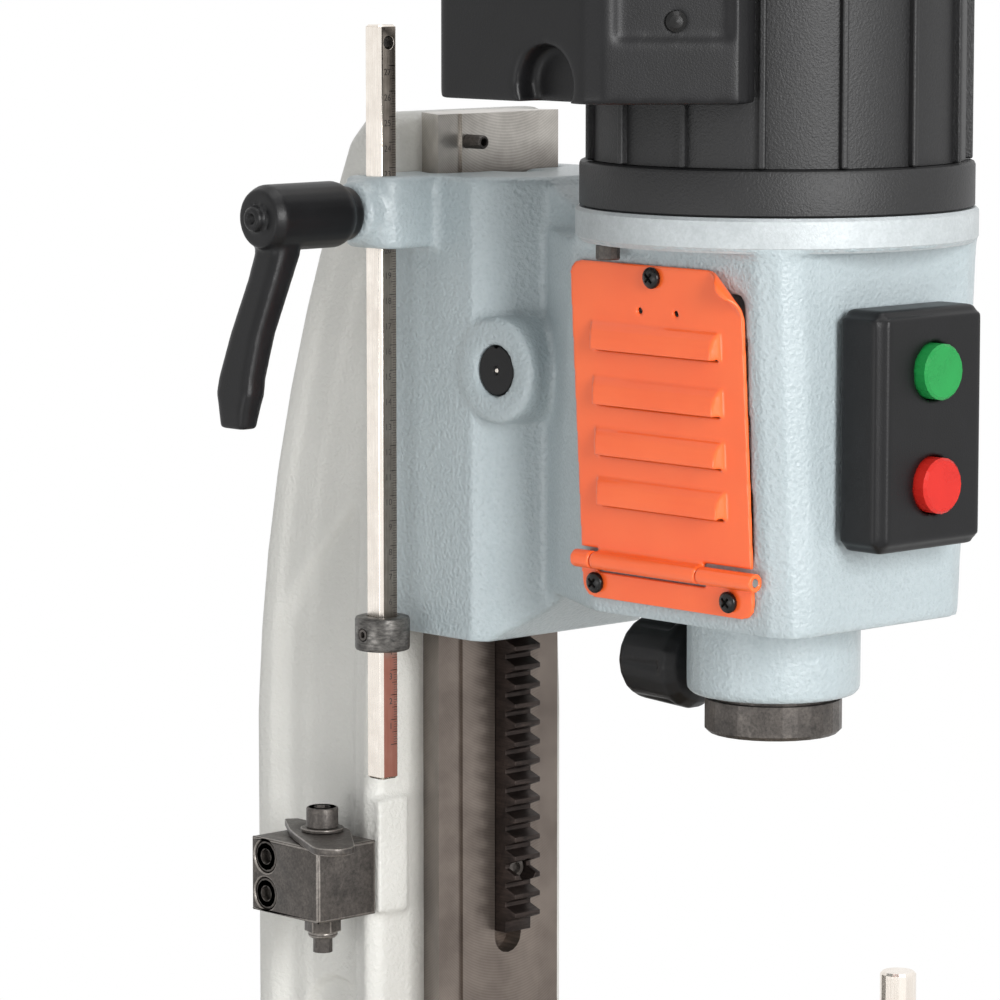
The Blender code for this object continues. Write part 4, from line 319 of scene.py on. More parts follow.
# %% Finish the nodes that keep their shape
FINISHES = {
    cream_enamel: ["base_casting", "column_casting"],
    hammer_paint: ["head_casting"],
    motor_paint: ["motor_end_bell", "motor_body", "fan_cover"],
    orange_coat: ["door_left", "door_right", "door_leaf_left", "door_leaf_right"],
    black_nylon: ["junction_box", "clamp_lever", "chisel_knob", "fence_lock_knob", "hold_down_knob", "feed_grip",
                  "switch_box"],
    black_screw: ["junction_box_screw"],
    green_acetal: ["start_button"],
    red_acetal: ["stop_button"],
    drawn_steel: ["depth_rod", "fence_rod_left", "fence_rod_right", "hold_down_post", "feed_lever"],
    turned_steel: ["pinion_shaft", "spindle_chuck", "gas_spring_rod", "door_pin_left", "door_pin_right",
                   "column_bolt_left", "column_bolt_right"],
    black_oxide: ["stop_pin", "stop_block", "stop_block_screw_upper", "stop_block_screw_lower", "stop_pivot_bolt",
                  "stop_washer", "stop_nut", "stop_plate", "depth_collar", "collar_screw", "shaft_end_cap",
                  "chisel_bushing", "motor_bolt_left", "motor_bolt_right", "door_screw_left",
                  "leaf_screw_left_rear", "leaf_screw_left_front", "gib_strip", "rack_screw_lower",
                  "rack_screw_upper", "hold_down_fork", "gas_spring_cylinder", "feed_hub"],
    rack_steel: ["rack"],
    fly_cut_iron: ["fence"],
    fibre_board: ["table_board"],
}
for finish, names in FINISHES.items():
    for name in names:
        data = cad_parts[name].data
        data.materials.clear()
        data.materials.append(finish)
unfinished = sorted(set(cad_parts) - {name for names in FINISHES.values() for name in names})
print("nodes without a finish", unfinished)

# %% [markdown]
# ## Castings with soft edges
# A sand casting has no sharp edge: the pattern is rounded so that the sand doesn't break, and the paint rounds it
# again. A bevel on each edge would do it, but the head is cut through by so many bores that a bevel would catch.
# Instead, a merged copy of the solid is remade from small cubes (a voxel remesh) and relaxed by a Smooth
# modifier, which rounds every edge by about one and a half cubes.

# %% Helpers for copies
def alone(piece):
    """Leaves one object selected and active, because an operator works on all that is selected."""
    bpy.ops.object.select_all(action="DESELECT")
    bpy.context.view_layer.objects.active = piece
    piece.select_set(True)


def copy_of(node, name):
    """A piece with a merged copy of a solid's mesh."""
    piece = bpy.data.objects.new(name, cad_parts[node].data.copy())
    scene.collection.objects.link(piece)
    alone(piece)
    bpy.ops.object.mode_set(mode="EDIT")
    bpy.ops.mesh.select_all(action="SELECT")
    bpy.ops.mesh.remove_doubles(threshold=0.00001)
    bpy.ops.mesh.dissolve_limited(angle_limit=math.radians(1))
    bpy.ops.object.mode_set(mode="OBJECT")
    return piece


def keep_side(piece, point, normal):
    """Cuts a piece by a plane and keeps what lies behind it, with the cut closed."""
    alone(piece)
    bpy.ops.object.mode_set(mode="EDIT")
    bpy.ops.mesh.select_all(action="SELECT")
    bpy.ops.mesh.bisect(plane_co=point, plane_no=normal, use_fill=True, clear_outer=True)
    bpy.ops.object.mode_set(mode="OBJECT")


def change(piece, kind, **settings):
    """Adds one modifier with its settings and applies it."""
    alone(piece)
    modifier = piece.modifiers.new(kind.lower(), kind)
    for name, value in settings.items():
        setattr(modifier, name, value)
    bpy.ops.object.modifier_apply(modifier=modifier.name)


def relax(piece, cube, rounds, factor=0.5):
    """Remakes a piece from small cubes and smooths it."""
    change(piece, "REMESH", mode="VOXEL", voxel_size=cube)
    change(piece, "SMOOTH", factor=factor, iterations=rounds)
    alone(piece)
    bpy.ops.object.shade_smooth()


def soften(piece, width, segments=2, angle=30, edge_slot=0):
    """Rounds the edges by a bevel narrower than the smallest face; the new faces take a material slot."""
    change(piece, "BEVEL", width=width, segments=segments, limit_method="ANGLE", angle_limit=math.radians(angle),
           use_clamp_overlap=False, material=edge_slot)
    alone(piece)
    bpy.ops.object.shade_smooth_by_angle(angle=math.radians(35))


def bar_between(name, start, end, sides, radius):
    """A bar with any number of sides from one point to another."""
    start, end = Vector(start), Vector(end)
    bpy.ops.object.select_all(action="DESELECT")
    bpy.ops.mesh.primitive_cylinder_add(vertices=sides, radius=radius, depth=(end - start).length,
                                        location=(start + end) / 2,
                                        rotation=(end - start).to_track_quat("Z", "Y").to_euler())
    bpy.ops.object.transform_apply(location=True, rotation=True, scale=True)
    bpy.context.object.name = name
    return bpy.context.object


def cut_away(piece, cutter):
    """Cuts one piece out of another and removes the cutter."""
    change(piece, "BOOLEAN", operation="DIFFERENCE", object=cutter, solver="EXACT")
    bpy.data.objects.remove(cutter)


def middle_of(node):
    """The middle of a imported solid's box."""
    low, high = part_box(node)
    return (low + high) / 2


def finish_piece(piece, material, body, slot, *nodes):
    """Gives a piece its finish, the body that it moves with and the solids that it stands for."""
    if piece.data.materials:
        piece.data.materials[0] = material
    else:
        piece.data.materials.append(material)
    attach(piece, body)
    if nodes:
        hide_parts(*nodes)
    print(piece.name, len(piece.data.polygons), "faces")


print("helpers for copies ready")

# %% [markdown]
# ## Head
# The head is one casting: a slide with a neck, a housing for the chuck and a nose. Its top ring is turned after
# casting to seat the motor, so the ring is made apart and crisp; its grey is paler than the head's paint, as
# painted light for the light that the ring catches.

# %% Head casting
bell_low, bell_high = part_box("motor_end_bell")
nose_low, nose_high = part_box("chisel_bushing")
spindle_x, spindle_y = (nose_low.x + nose_high.x) / 2, (nose_low.y + nose_high.y) / 2
ring_height = 0.0130
head = copy_of("head_casting", "head_body")
relax(head, cube=0.0017, rounds=4)
cap_low, cap_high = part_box("shaft_end_cap")
shaft = middle_of("shaft_end_cap")
shaft_radius = (cap_high.z - cap_low.z) / 2
shaft_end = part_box("pinion_shaft")[1].x
cut_away(head, bar_between("shaft_bore", (cap_low.x - 0.002, shaft.y, shaft.z), (shaft_end, shaft.y, shaft.z), 48,
                           shaft_radius + 0.0005))
alone(head)
bpy.ops.object.shade_smooth_by_angle(angle=math.radians(40))
finish_piece(head, hammer_paint, "head", "head_paint", "head_casting")

# %% [markdown]
# A turned part is best made as on a lathe: one profile line, spun round its axis. `lathe` draws the profile as a
# chain of edges, spins it with the Spin operator, merges the seam and turns the faces outwards.

# %% Lathe
def lathe(name, profile, centre, axis=(0, 0, 1), steps=96, angle=30):
    """Spins (radius, height) points round an axis through centre; heights run along the axis."""
    axis = Vector(axis)
    side = axis.orthogonal().normalized()
    centre = Vector(centre)
    data = bpy.data.meshes.new(name)
    points = [centre + side * radius + axis * height for radius, height in profile]
    data.from_pydata(points, [(i, i + 1) for i in range(len(points) - 1)], [])
    piece = bpy.data.objects.new(name, data)
    scene.collection.objects.link(piece)
    alone(piece)
    bpy.ops.object.mode_set(mode="EDIT")
    bpy.ops.mesh.select_all(action="SELECT")
    bpy.ops.mesh.spin(steps=steps, angle=math.tau, center=centre, axis=axis)
    bpy.ops.mesh.select_all(action="SELECT")
    bpy.ops.mesh.remove_doubles(threshold=0.000005)
    bpy.ops.mesh.normals_make_consistent(inside=False)
    bpy.ops.object.mode_set(mode="OBJECT")
    bpy.ops.object.shade_smooth_by_angle(angle=math.radians(angle))
    return piece


GAP = 0.0003
axle = (spindle_x, spindle_y, 0)
top = bell_low.z - GAP
ring_radius = 0.0765
ring = lathe("flange_ring", [(0.060, top), (ring_radius - 0.0012, top), (ring_radius, top - 0.0012),
                             (ring_radius, top - ring_height + 0.002), (ring_radius - 0.002, top - ring_height),
                             (0.060, top - ring_height), (0.060, top)], axle, steps=128)
finish_piece(ring, ring_paint_with_painted_light, "head", "head_paint")

# %% [markdown]
# ## Column
# The column's sides are rough casting under enamel, but the dovetail in front is milled bare iron with crisp
# edges. So three copies are cut by the same planes: the body behind the dovetail's shoulder, the ways in front of
# it, and the painted toe of the foot below them. The body also gets the pad beside the stop block and its rims.

# %% Column body and ways
def add_block(piece, low, high):
    """Adds a plain block to a piece; the voxel remesh that follows melts it in."""
    size = Vector(high) - Vector(low)
    bpy.ops.object.select_all(action="DESELECT")
    bpy.ops.mesh.primitive_cube_add(size=1, location=(Vector(low) + Vector(high)) / 2, scale=size)
    bpy.ops.object.transform_apply(location=True, rotation=True, scale=True)
    piece.select_set(True)
    bpy.context.view_layer.objects.active = piece
    bpy.ops.object.join()


def step_in(distance, start, width, depth):
    """A soft step: 0 before start, depth after start + width."""
    share = min(max((distance - start) / width, 0), 1)
    return depth * share * share * (3 - 2 * share)


def sink_sides(piece, above):
    """Leaves a rim along the back edge of both long sides, and a second, lower step in front of it."""
    back_edge = {}
    for vert in piece.data.vertices:
        row = round(vert.co.z / ROW_HEIGHT)
        back_edge[row] = max(back_edge.get(row, -1), vert.co.y)
    for vert in piece.data.vertices:
        if abs(vert.co.x) < INNER_HALF_WIDTH or vert.co.z < above:
            continue
        behind = back_edge[round(vert.co.z / ROW_HEIGHT)] - vert.co.y
        ahead = vert.co.y - shoulder_y
        depth = step_in(behind, 0.0115, 0.0030, 0.0014) + step_in(behind, 0.0270, 0.0040, 0.0009)
        depth *= step_in(ahead, 0.0060, 0.0050, 1.0) * step_in(vert.co.z, above, 0.020, 1.0)
        vert.co.x -= math.copysign(depth, vert.co.x)
    piece.data.update()


ROW_HEIGHT = 0.004
INNER_HALF_WIDTH = 0.030
TOE_TOP = 0.1005
rod_low, rod_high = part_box("depth_rod")
column_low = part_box("column_casting")[0]
land_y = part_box("rack")[1].y - 0.0080
shoulder_y = land_y + 0.0215
body = copy_of("column_casting", "column_body")
keep_side(body, (0, shoulder_y - 0.001, 0), (0, -1, 0))
block_low, block_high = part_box("stop_block")
column_side = block_high.x + GAP
add_block(body, (column_side + 0.0008, shoulder_y - 0.0024, block_low.z),
          (column_side + 0.0165, shoulder_y + 0.004, block_high.z + 0.0155))
relax(body, cube=0.0019, rounds=4)
sink_sides(body, column_low.z + 0.05)
finish_piece(body, cream_enamel, "frame", "column_paint", "column_casting")
ways = copy_of("column_casting", "column_ways")
keep_side(ways, (0, shoulder_y, 0), (0, 1, 0))
keep_side(ways, (0, 0, TOE_TOP), (0, 0, -1))
finish_piece(ways, fly_cut_iron, "frame", "machined_iron")
foot = copy_of("column_casting", "column_toe")
keep_side(foot, (0, shoulder_y, 0), (0, 1, 0))
keep_side(foot, (0, 0, TOE_TOP), (0, 0, 1))
soften(foot, 0.002)
finish_piece(foot, cream_enamel, "frame", "column_paint")

# %% [markdown]
# The base is cast in the same way, with thicker walls, so larger cubes are enough for it.

# %% Base
base = copy_of("base_casting", "base_body")
relax(base, cube=0.0026, rounds=4)
finish_piece(base, cream_enamel, "frame", "column_paint", "base_casting")

# %% [markdown]
# ## Moulded plastic pieces
# A moulding has a radius on every edge, because the melt must flow round it. The clamp lever, the lock knobs and
# the wiring box are therefore relaxed too, from cubes that are small enough to keep their flutes and notches.

# %% Lever, knobs and boxes
lever = copy_of("clamp_lever", "clamp_handle")
relax(lever, cube=0.0008, rounds=8)
finish_piece(lever, black_nylon, "clamp_lever", "black_plastic", "clamp_lever")
knob = copy_of("chisel_knob", "chisel_lock_knob")
relax(knob, cube=0.0007, rounds=5)
finish_piece(knob, black_nylon, "chisel_knob", "black_plastic", "chisel_knob")
grip = copy_of("feed_grip", "feed_handle_grip")
relax(grip, cube=0.0011, rounds=8)
finish_piece(grip, black_nylon, "feed", "black_plastic", "feed_grip")
for node, name, ride_on in (("fence_lock_knob", "fence_knob_moulding", "fence_knob"),
                            ("hold_down_knob", "hold_down_knob_moulding", "hold_down")):
    knob = copy_of(node, name)
    relax(knob, cube=0.0009, rounds=5)
    finish_piece(knob, black_nylon, ride_on, "black_plastic", node)
wiring_box = copy_of("junction_box", "wiring_box")
relax(wiring_box, cube=0.0011, rounds=16)
finish_piece(wiring_box, black_nylon, "head", "black_plastic", "junction_box")
switch = copy_of("switch_box", "switch_housing")
relax(switch, cube=0.0012, rounds=10)
for button in ("start_button", "stop_button"):
    low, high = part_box(button)
    middle = middle_of(button)
    cut_away(switch, bar_between("button_bore", (middle.x, low.y - 0.01, middle.z),
                                 (middle.x, high.y + 0.006, middle.z), 64, (high.x - low.x) / 2 + 0.0004))
alone(switch)
bpy.ops.object.shade_smooth_by_angle(angle=math.radians(40))
finish_piece(switch, black_nylon, "head", "black_plastic", "switch_box")

# %% [markdown]
# ## Motor shells
# The end bell is a die casting turned true at its rim. Seen from outside it is a short drum with small radii, so
# it comes from the lathe.

# %% End bell
bell_radius = (bell_high.x - bell_low.x) / 2
bell = lathe("end_bell", [(0.030, bell_low.z), (bell_radius - 0.0006, bell_low.z),
                          (bell_radius, bell_low.z + 0.0006), (bell_radius, bell_high.z - 0.0016),
                          (bell_radius - 0.0005, bell_high.z - 0.0005), (bell_radius - 0.0016, bell_high.z),
                          (0.030, bell_high.z), (0.030, bell_low.z)], axle, steps=128)
finish_piece(bell, motor_paint, "head", "motor_paint", "motor_end_bell")

# %% [markdown]
# The motor's shell is an extruded aluminium tube with thin cooling ribs, one every 24 degrees. One rib is a bar
# with a bevel; it is copied round the axis, each copy with its own mesh, and all are joined to the tube.

# %% Motor shell
RIBS = 15
FIRST_RIB = 195.3
RIB_DEPTH = 0.0070
RIB_THICKNESS = 0.0026
motor_low, motor_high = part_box("motor_body")
rib_reach = (motor_high.x - motor_low.x) / 2
tube_radius = rib_reach - 0.0028
shell = lathe("motor_shell", [(0.030, motor_low.z), (tube_radius, motor_low.z), (tube_radius, motor_high.z),
                              (0.030, motor_high.z), (0.030, motor_low.z)], axle, steps=120)
bpy.ops.object.select_all(action="DESELECT")
bpy.ops.mesh.primitive_cube_add(size=1, location=(rib_reach - RIB_DEPTH / 2, 0, (motor_low.z + motor_high.z) / 2),
                                scale=(RIB_DEPTH, RIB_THICKNESS, motor_high.z - motor_low.z))
bpy.ops.object.transform_apply(location=True, rotation=True, scale=True)
first_rib = bpy.context.object
change(first_rib, "BEVEL", width=0.0007, segments=2)
ribs = []
for i in range(RIBS):
    rib = bpy.data.objects.new(f"rib_{i}", first_rib.data.copy())
    scene.collection.objects.link(rib)
    turn = math.radians(FIRST_RIB + 360 / RIBS * i)
    rib.data.transform(Matrix.Translation(axle) @ Matrix.Rotation(turn, 4, "Z"))
    ribs.append(rib)
bpy.data.objects.remove(first_rib)
alone(shell)
for rib in ribs:
    rib.select_set(True)
bpy.context.view_layer.objects.active = shell
bpy.ops.object.join()
finish_piece(shell, motor_paint, "head", "motor_paint", "motor_body")

# %% [markdown]
# ## Doors of pressed sheet
# The louvres are pressed out of the sheet in one stroke, so the metal flows into them in soft curves. A fine
# remesh and a few rounds of smoothing give that flow. The left door's upper front corner has been bent outwards,
# as happens when the screw is forgotten and the door is pulled: the sheet is rolled about a slanting line.

# %% Doors
def roll_corner(piece, start, line, out, radius, most):
    """Rolls the part of a sheet that lies beyond a line through start, about that line, towards out."""
    line = Vector(line).normalized()
    out = Vector(out).normalized()
    across = line.cross(out).normalized()
    start = Vector(start)
    for vert in piece.data.vertices:
        reach = (vert.co - start).dot(across)
        if reach <= 0:
            continue
        height = (vert.co - start).dot(out)
        angle = min(reach / radius, most)
        spare = reach - angle * radius
        flat = math.sin(angle) * (radius - height) + math.cos(angle) * spare
        lift = radius - math.cos(angle) * (radius - height) + math.sin(angle) * spare
        vert.co += across * (flat - reach) + out * (lift - height)
    piece.data.update()


door_low, door_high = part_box("door_left")
for node, name, ride_on in (("door_left", "louvred_door_left", "door_left"),
                            ("door_right", "louvred_door_right", "door_right")):
    door = copy_of(node, name)
    relax(door, cube=0.00072, rounds=3, factor=0.4)
    if node == "door_left":
        outwards = Vector((-0.998, 0, -0.06)).normalized()
        corner = Vector((door_low.x + 0.0035, door_low.y + 0.0185, door_high.z))
        roll_corner(door, corner, (0, 1, 1), outwards, 0.0042, 2.7)
    finish_piece(door, orange_coat, ride_on, "door_paint", node)
for node, name in (("door_leaf_left", "hinge_leaf_left"), ("door_leaf_right", "hinge_leaf_right")):
    leaf = copy_of(node, name)
    relax(leaf, cube=0.0006, rounds=2, factor=0.4)
    finish_piece(leaf, orange_coat, "head", "door_paint", node)

# %% [markdown]
# ## Steel pieces with broken edges
# The fitter files the burr off each edge, and light catches the narrow flat. A bevel of 0.25 to 0.6 mm stands for
# it on the rack, the stop block and its plate, the collar and the fence, and one of 1 mm on the table's board.

# %% Broken edges
for node, name, ride_on, width, steel, slot in (
        ("rack", "rack_bar", "frame", 0.00025, rack_steel, "black_oxide"),
        ("stop_block", "stop_bracket", "frame", 0.0006, black_oxide, "black_oxide"),
        ("stop_plate", "stop_swing_plate", "stop_plate", 0.0004, black_oxide, "black_oxide"),
        ("depth_collar", "rod_collar", "collar", 0.0006, scuffed_oxide, "black_oxide"),
        ("stop_washer", "stop_bolt_washer", "frame", 0.0003, black_oxide, "black_oxide"),
        ("stop_nut", "stop_lock_nut", "frame", 0.0004, black_oxide, "black_oxide"),
        ("hold_down_fork", "hold_down_bracket", "hold_down", 0.0006, black_oxide, "black_oxide"),
        ("fence", "fence_bar", "fence", 0.0005, fly_cut_iron, "machined_iron"),
        ("table_board", "table_top", "frame", 0.0010, fibre_board, "board")):
    piece = copy_of(node, name)
    worn = steel is black_oxide
    if worn:
        piece.data.materials.append(worn_edge)
    soften(piece, width, edge_slot=1 if worn else 0)
    finish_piece(piece, steel, ride_on, slot, node)

# %% [markdown]
# ## Screws
# A socket screw is a turned head with a hexagonal hole, and a pan-head screw has a cross. The heads come from the
# lathe, and a Boolean with a six-sided bar or a cross of two thin bars cuts the drive. Each one stands where the
# packed screw's head stands, with its own mesh.

# %% Screw heads
def socket_screw(name, seat, direction, radius, height, key):
    """A cylinder head that stands on seat, with a hexagonal socket of the given key radius."""
    edge = radius * 0.12
    head = lathe(name, [(0, 0), (radius, 0), (radius, height - edge), (radius - edge * 0.3, height - edge * 0.3),
                        (radius - edge, height), (0, height)], seat, direction, steps=40)
    seat, direction = Vector(seat), Vector(direction)
    cut_away(head, bar_between("key", seat + direction * height * 0.35, seat + direction * height * 1.5, 6, key))
    alone(head)
    bpy.ops.object.shade_smooth_by_angle(angle=math.radians(30))
    return head


def squeeze(axis, share):
    """A matrix that makes things narrower along one axis."""
    return Matrix.Scale(share, 4, axis)


def cross_screw(name, seat, direction, radius, height):
    """A pan head that stands on seat, with a cross recess."""
    arc = [(radius * math.cos(a), height * (0.35 + 0.65 * math.sin(a))) for a in [0.2 * i for i in range(7)]]
    head = lathe(name, [(0, 0), (radius * 0.96, 0)] + arc + [(0, height)], seat, direction, steps=40)
    seat, direction = Vector(seat), Vector(direction)
    side = direction.orthogonal().normalized()
    other = direction.cross(side)
    for arm in (side, other):
        middle = seat + direction * height
        bar = bar_between("blade", middle - arm * radius * 0.58, middle + arm * radius * 0.58, 4, height * 0.42)
        bar.data.transform(Matrix.Translation(middle) @ squeeze(arm.cross(direction), 0.62)
                           @ Matrix.Translation(-middle))
        cut_away(head, bar)
    alone(head)
    bpy.ops.object.shade_smooth_by_angle(angle=math.radians(30))
    return head


print("screw helpers ready")

# %% [markdown]
# The socket screws keep their packed shanks, and a new head stands over the plain one: the two in the stop block
# sit in counterbores and face left, and the pivot bolt stands up. The small cross-head screws of the left door
# and its hinge leaf are replaced whole, because only their heads are seen.

# %% Place the screws
heads = []
for node in ("stop_block_screw_upper", "stop_block_screw_lower"):
    low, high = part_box(node)
    radius = (high.z - low.z) / 2
    centre = (low + high) / 2
    heads.append((socket_screw(f"{node}_head", (low.x + 0.0049, centre.y, centre.z), (-1, 0, 0), radius, 0.0049,
                               radius * 0.52), "frame"))
low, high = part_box("stop_pivot_bolt")
centre = (low + high) / 2
radius = (high.x - low.x) / 2
heads.append((socket_screw("stop_pivot_bolt_head", (centre.x, centre.y, high.z - 0.0080), (0, 0, 1), radius,
                           0.0080, radius * 0.5), "frame"))
for piece, ride_on in heads:
    finish_piece(piece, black_oxide, ride_on, "black_oxide")
tilt = Vector((-0.998, 0, -0.059)).normalized()
for node, ride_on in (("door_screw_left", "door_left"), ("leaf_screw_left_rear", "head"),
                      ("leaf_screw_left_front", "head")):
    low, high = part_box(node)
    centre = (low + high) / 2
    seat = Vector((high.x, centre.y, centre.z)) + tilt * 0.0003
    piece = cross_screw(f"{node}_head", seat, tilt, 0.0041, 0.0027)
    finish_piece(piece, black_screw, ride_on, "black_oxide", node)

# %% [markdown]
# ## Depth rod and boss cap
# The rod is drawn square bar. Its front face carries the rule and gets a second, rougher finish, chosen by the
# direction that each face looks in; its darker colour is a painted reflection of the head that it faces. The wall
# of the hole near the top is dark: painted shade in the hole.

# %% Depth rod
rod = copy_of("depth_rod", "depth_bar")
soften(rod, 0.0002)
finish_piece(rod, drawn_steel, "depth_rod", "bright_steel", "depth_rod")
rod.data.materials.append(rule_face)
rod.data.materials.append(black_oxide)
rod_middle = middle_of("depth_rod")
for face in rod.data.polygons:
    inside = abs(face.center.x - rod_middle.x) < 0.0030 and abs(face.normal.z) < 0.98
    # painted reflection: the front face takes the darker rule finish
    if face.normal.y < -0.9:
        face.material_index = 1
    # painted shade: the wall of the hole takes the dark oxide finish
    elif inside and abs(face.normal.y) < 0.3:
        face.material_index = 2
print("rule face and hole painted")

# %% [markdown]
# A black cap closes the end of the pinion shaft, with a small notch for prising it out and a bright centre.

# %% Boss cap
low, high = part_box("shaft_end_cap")
centre = (low + high) / 2
radius = (high.y - low.y) / 2
cap = lathe("boss_cap", [(0, 0), (radius - 0.0004, 0), (radius, 0.0004), (radius, 0.0030),
                         (radius - 0.0005, 0.0035), (0.0020, 0.0035), (0.0014, 0.0028), (0, 0.0028)],
            (low.x + 0.0036, centre.y, centre.z), (-1, 0, 0), steps=64)
cut_away(cap, bar_between("notch", (low.x - 0.002, centre.y, high.z + 0.0004),
                          (low.x + 0.002, centre.y, high.z + 0.0004), 16, 0.0016))
alone(cap)
bpy.ops.object.shade_smooth_by_angle(angle=math.radians(30))
finish_piece(cap, black_nylon, "head", "black_plastic", "shaft_end_cap")
dot = lathe("cap_centre", [(0, 0), (0.0009, 0), (0.0009, 0.0004), (0.0006, 0.0007), (0, 0.0008)],
            (low.x + 0.0009, centre.y, centre.z), (-1, 0, 0), steps=24)
finish_piece(dot, drawn_steel, "head", "bright_steel")

# %% [markdown]
# ## Rule on the depth rod
# The rod's front face carries an engraved millimetre rule, filled with black. One stroke is made for each kind of
# line, 1.8, 2.6 and 3.4 mm long, and an Array repeats it every 1, 5 and 10 mm. The numbers count centimetres.

# %% Rule
made, tree, shader, place = start_material("black_filled_engraving", 0.6)
fill = add_node(tree, "ShaderNodeTexNoise", {"Vector": place, "Scale": per_metre(0.7)})
colour = add_node(tree, "ShaderNodeMix", {"Factor": fill.outputs["Fac"], 6: linear("#2B2725"),
                                          7: linear("#4A423D")}, data_type="RGBA")
tree.links.new(colour.outputs[2], shader.inputs["Base Color"])
engraving = made
RULE_START = 0.014
RULE_LENGTH = 0.270
face_y = rod_low.y - 0.00002
right_edge = rod_high.x - 0.0013
strokes = []
for length, step, thick in ((0.0018, 0.001, 0.00022), (0.0026, 0.005, 0.00026), (0.0034, 0.010, 0.0003)):
    bpy.ops.object.select_all(action="DESELECT")
    bpy.ops.mesh.primitive_cube_add(size=1, location=(right_edge - length / 2, face_y, rod_low.z + RULE_START),
                                    scale=(length, 0.00004, thick))
    bpy.ops.object.transform_apply(location=True, rotation=True, scale=True)
    stroke = bpy.context.object
    change(stroke, "ARRAY", use_relative_offset=False, use_constant_offset=True,
           constant_offset_displace=(0, 0, step), count=round(RULE_LENGTH / step) + 1)
    strokes.append(stroke)
for number in range(1, 28):
    bpy.ops.object.select_all(action="DESELECT")
    bpy.ops.object.text_add()
    label = bpy.context.object
    label.data.body = str(number)
    label.data.size = 0.0036
    label.data.align_x = "RIGHT"
    label.data.align_y = "CENTER"
    label.data.extrude = 0.00002
    bpy.ops.object.convert(target="MESH")
    label = bpy.context.object
    height = rod_low.z + RULE_START + 0.010 * number - 0.0026
    label.data.transform(Matrix.Translation((right_edge - 0.0024, face_y, height))
                         @ Matrix.Rotation(math.pi / 2, 4, "X"))
    strokes.append(label)
bpy.ops.object.select_all(action="DESELECT")
for piece in strokes:
    piece.select_set(True)
bpy.context.view_layer.objects.active = strokes[0]
bpy.ops.object.join()
rule = bpy.context.object
rule.name = "rod_rule"
finish_piece(rule, engraving, "depth_rod", "black_oxide")

# %% [markdown]
# ## Floor, light and camera
# The machine stands on a plain pale floor in a white room. Three soft lamps light it: a strong one in front, a
# weak one low on the left and one above. The room fills the shadows, and looks plain white to the camera and in
# reflections. The floor fades to the same white with distance, so that no horizon shows.

# %% Floor
bpy.ops.object.select_all(action="DESELECT")
bpy.ops.mesh.primitive_plane_add(size=8, location=(0, 0, -0.0005))
floor = bpy.context.object
floor.name = "floor"
made, tree, shader, place = start_material("pale_matt_floor", 0.9, Specular_IOR_Level=0.1)
cloudy = add_node(tree, "ShaderNodeTexNoise", {"Vector": place, "Scale": per_metre(400), "Detail": 2})
colour = add_node(tree, "ShaderNodeMix", {"Factor": cloudy.outputs["Fac"], 6: linear("#ECECEB"),
                                          7: linear("#F3F3F2")}, data_type="RGBA")
tree.links.new(colour.outputs[2], shader.inputs["Base Color"])
far = add_node(tree, "ShaderNodeVectorMath", {0: place}, operation="LENGTH")
fade = add_node(tree, "ShaderNodeMapRange", {"Value": far.outputs["Value"], "From Min": 0.30, "From Max": 0.95,
                                             "To Min": 0.35, "To Max": 1.0}, interpolation_type="SMOOTHSTEP")
eye = add_node(tree, "ShaderNodeLightPath")
mirrored = add_node(tree, "ShaderNodeMath", {0: eye.outputs["Is Glossy Ray"],
                                             1: eye.outputs["Is Transmission Ray"]}, operation="MAXIMUM")
looked = add_node(tree, "ShaderNodeMath", {0: eye.outputs["Is Camera Ray"], 1: mirrored.outputs[0]},
                  operation="MAXIMUM")
seen = add_node(tree, "ShaderNodeMath", {0: looked.outputs[0], 1: fade.outputs[0]}, operation="MULTIPLY")
white = add_node(tree, "ShaderNodeEmission", {"Color": (1, 1, 1, 1), "Strength": 1.0})
both = add_node(tree, "ShaderNodeMixShader", {"Fac": seen.outputs[0]})
tree.links.new(shader.outputs[0], both.inputs[1])
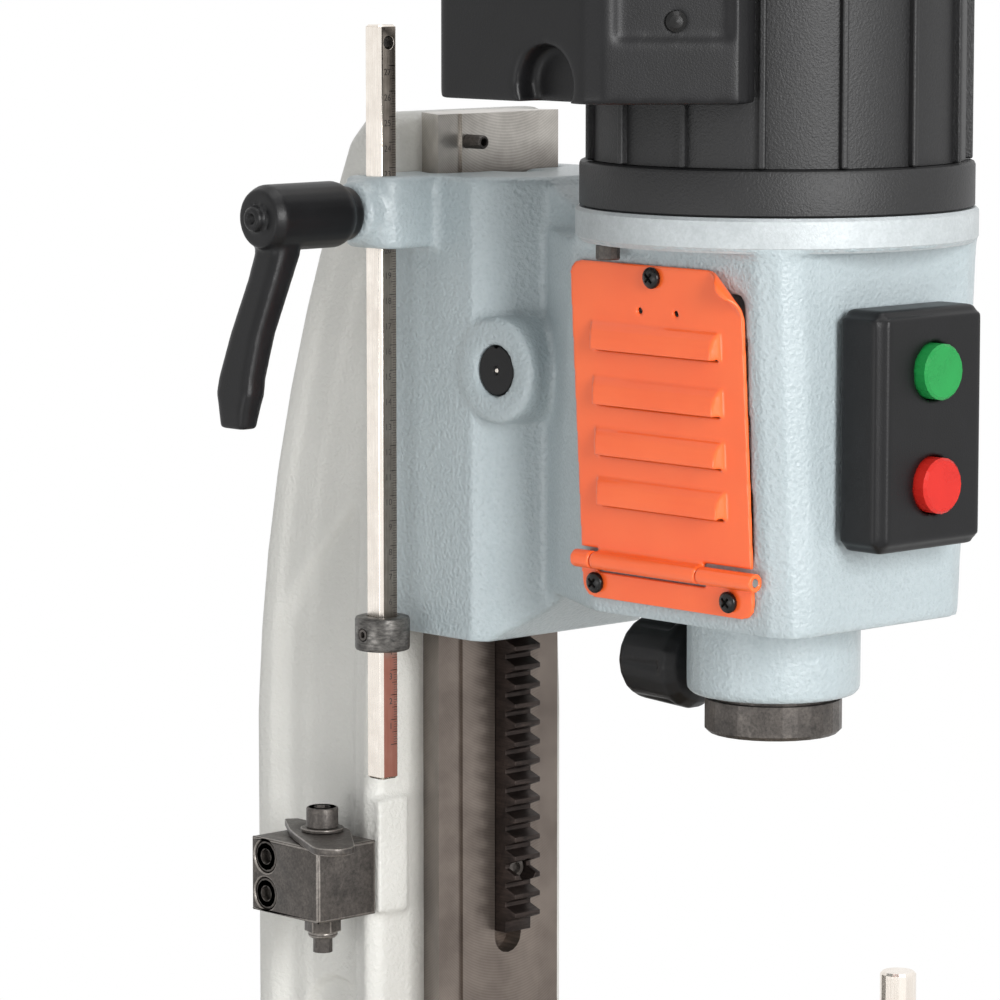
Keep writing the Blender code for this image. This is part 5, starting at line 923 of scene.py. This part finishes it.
tree.links.new(white.outputs[0], both.inputs[2])
tree.links.new(both.outputs[0], tree.nodes["Material Output"].inputs["Surface"])
floor.data.materials.append(made)
print("floor", floor.name)

# %% World and lamps
world = bpy.data.worlds.new("white_room")
scene.world = world
world.use_nodes = True
tree = world.node_tree
tree.nodes.clear()
rays = add_node(tree, "ShaderNodeLightPath")
seen = add_node(tree, "ShaderNodeMath", {0: rays.outputs["Is Camera Ray"], 1: rays.outputs["Is Glossy Ray"]},
                operation="MAXIMUM")
seen = add_node(tree, "ShaderNodeMath", {0: seen.outputs[0], 1: rays.outputs["Is Transmission Ray"]},
                operation="MAXIMUM")
strength = add_node(tree, "ShaderNodeMapRange", {"Value": seen.outputs[0], "To Min": 0.4, "To Max": 1.0})
sky = add_node(tree, "ShaderNodeBackground", {"Color": (1, 1, 1, 1), "Strength": strength.outputs[0]})
add_node(tree, "ShaderNodeOutputWorld", {"Surface": sky.outputs[0]})


def soft_lamp(name, place, aim, size, power):
    """A square area lamp that points at aim."""
    data = bpy.data.lights.new(name, "AREA")
    data.shape = "RECTANGLE"
    data.size, data.size_y = size
    data.energy = power
    lamp = bpy.data.objects.new(name, data)
    scene.collection.objects.link(lamp)
    lamp.location = place
    lamp.rotation_euler = (Vector(aim) - Vector(place)).to_track_quat("-Z", "Y").to_euler()
    return lamp


soft_lamp("low_left", (-1.5, -0.1, 0.15), (0, 0, 0.2), (0.9, 0.5), 4.5)
soft_lamp("key_front", (-0.55, -2.0, 1.0), (0, 0, 0.5), (0.7, 1.0), 42)
soft_lamp("top", (0.1, -0.2, 2.2), (0, 0, 0.5), (1.2, 1.2), 10)
scene.view_settings.view_transform = "Standard"

# %% Camera
camera = bpy.data.objects.new("camera", bpy.data.cameras.new("camera"))
scene.collection.objects.link(camera)
camera.data.lens = 177.0
camera.location = (-1.351, -1.384, 0.690)
camera.rotation_euler = (math.radians(82.7), 0, math.radians(-43.1))
camera.data.clip_end = 50
scene.camera = camera
print("camera at", tuple(camera.location))
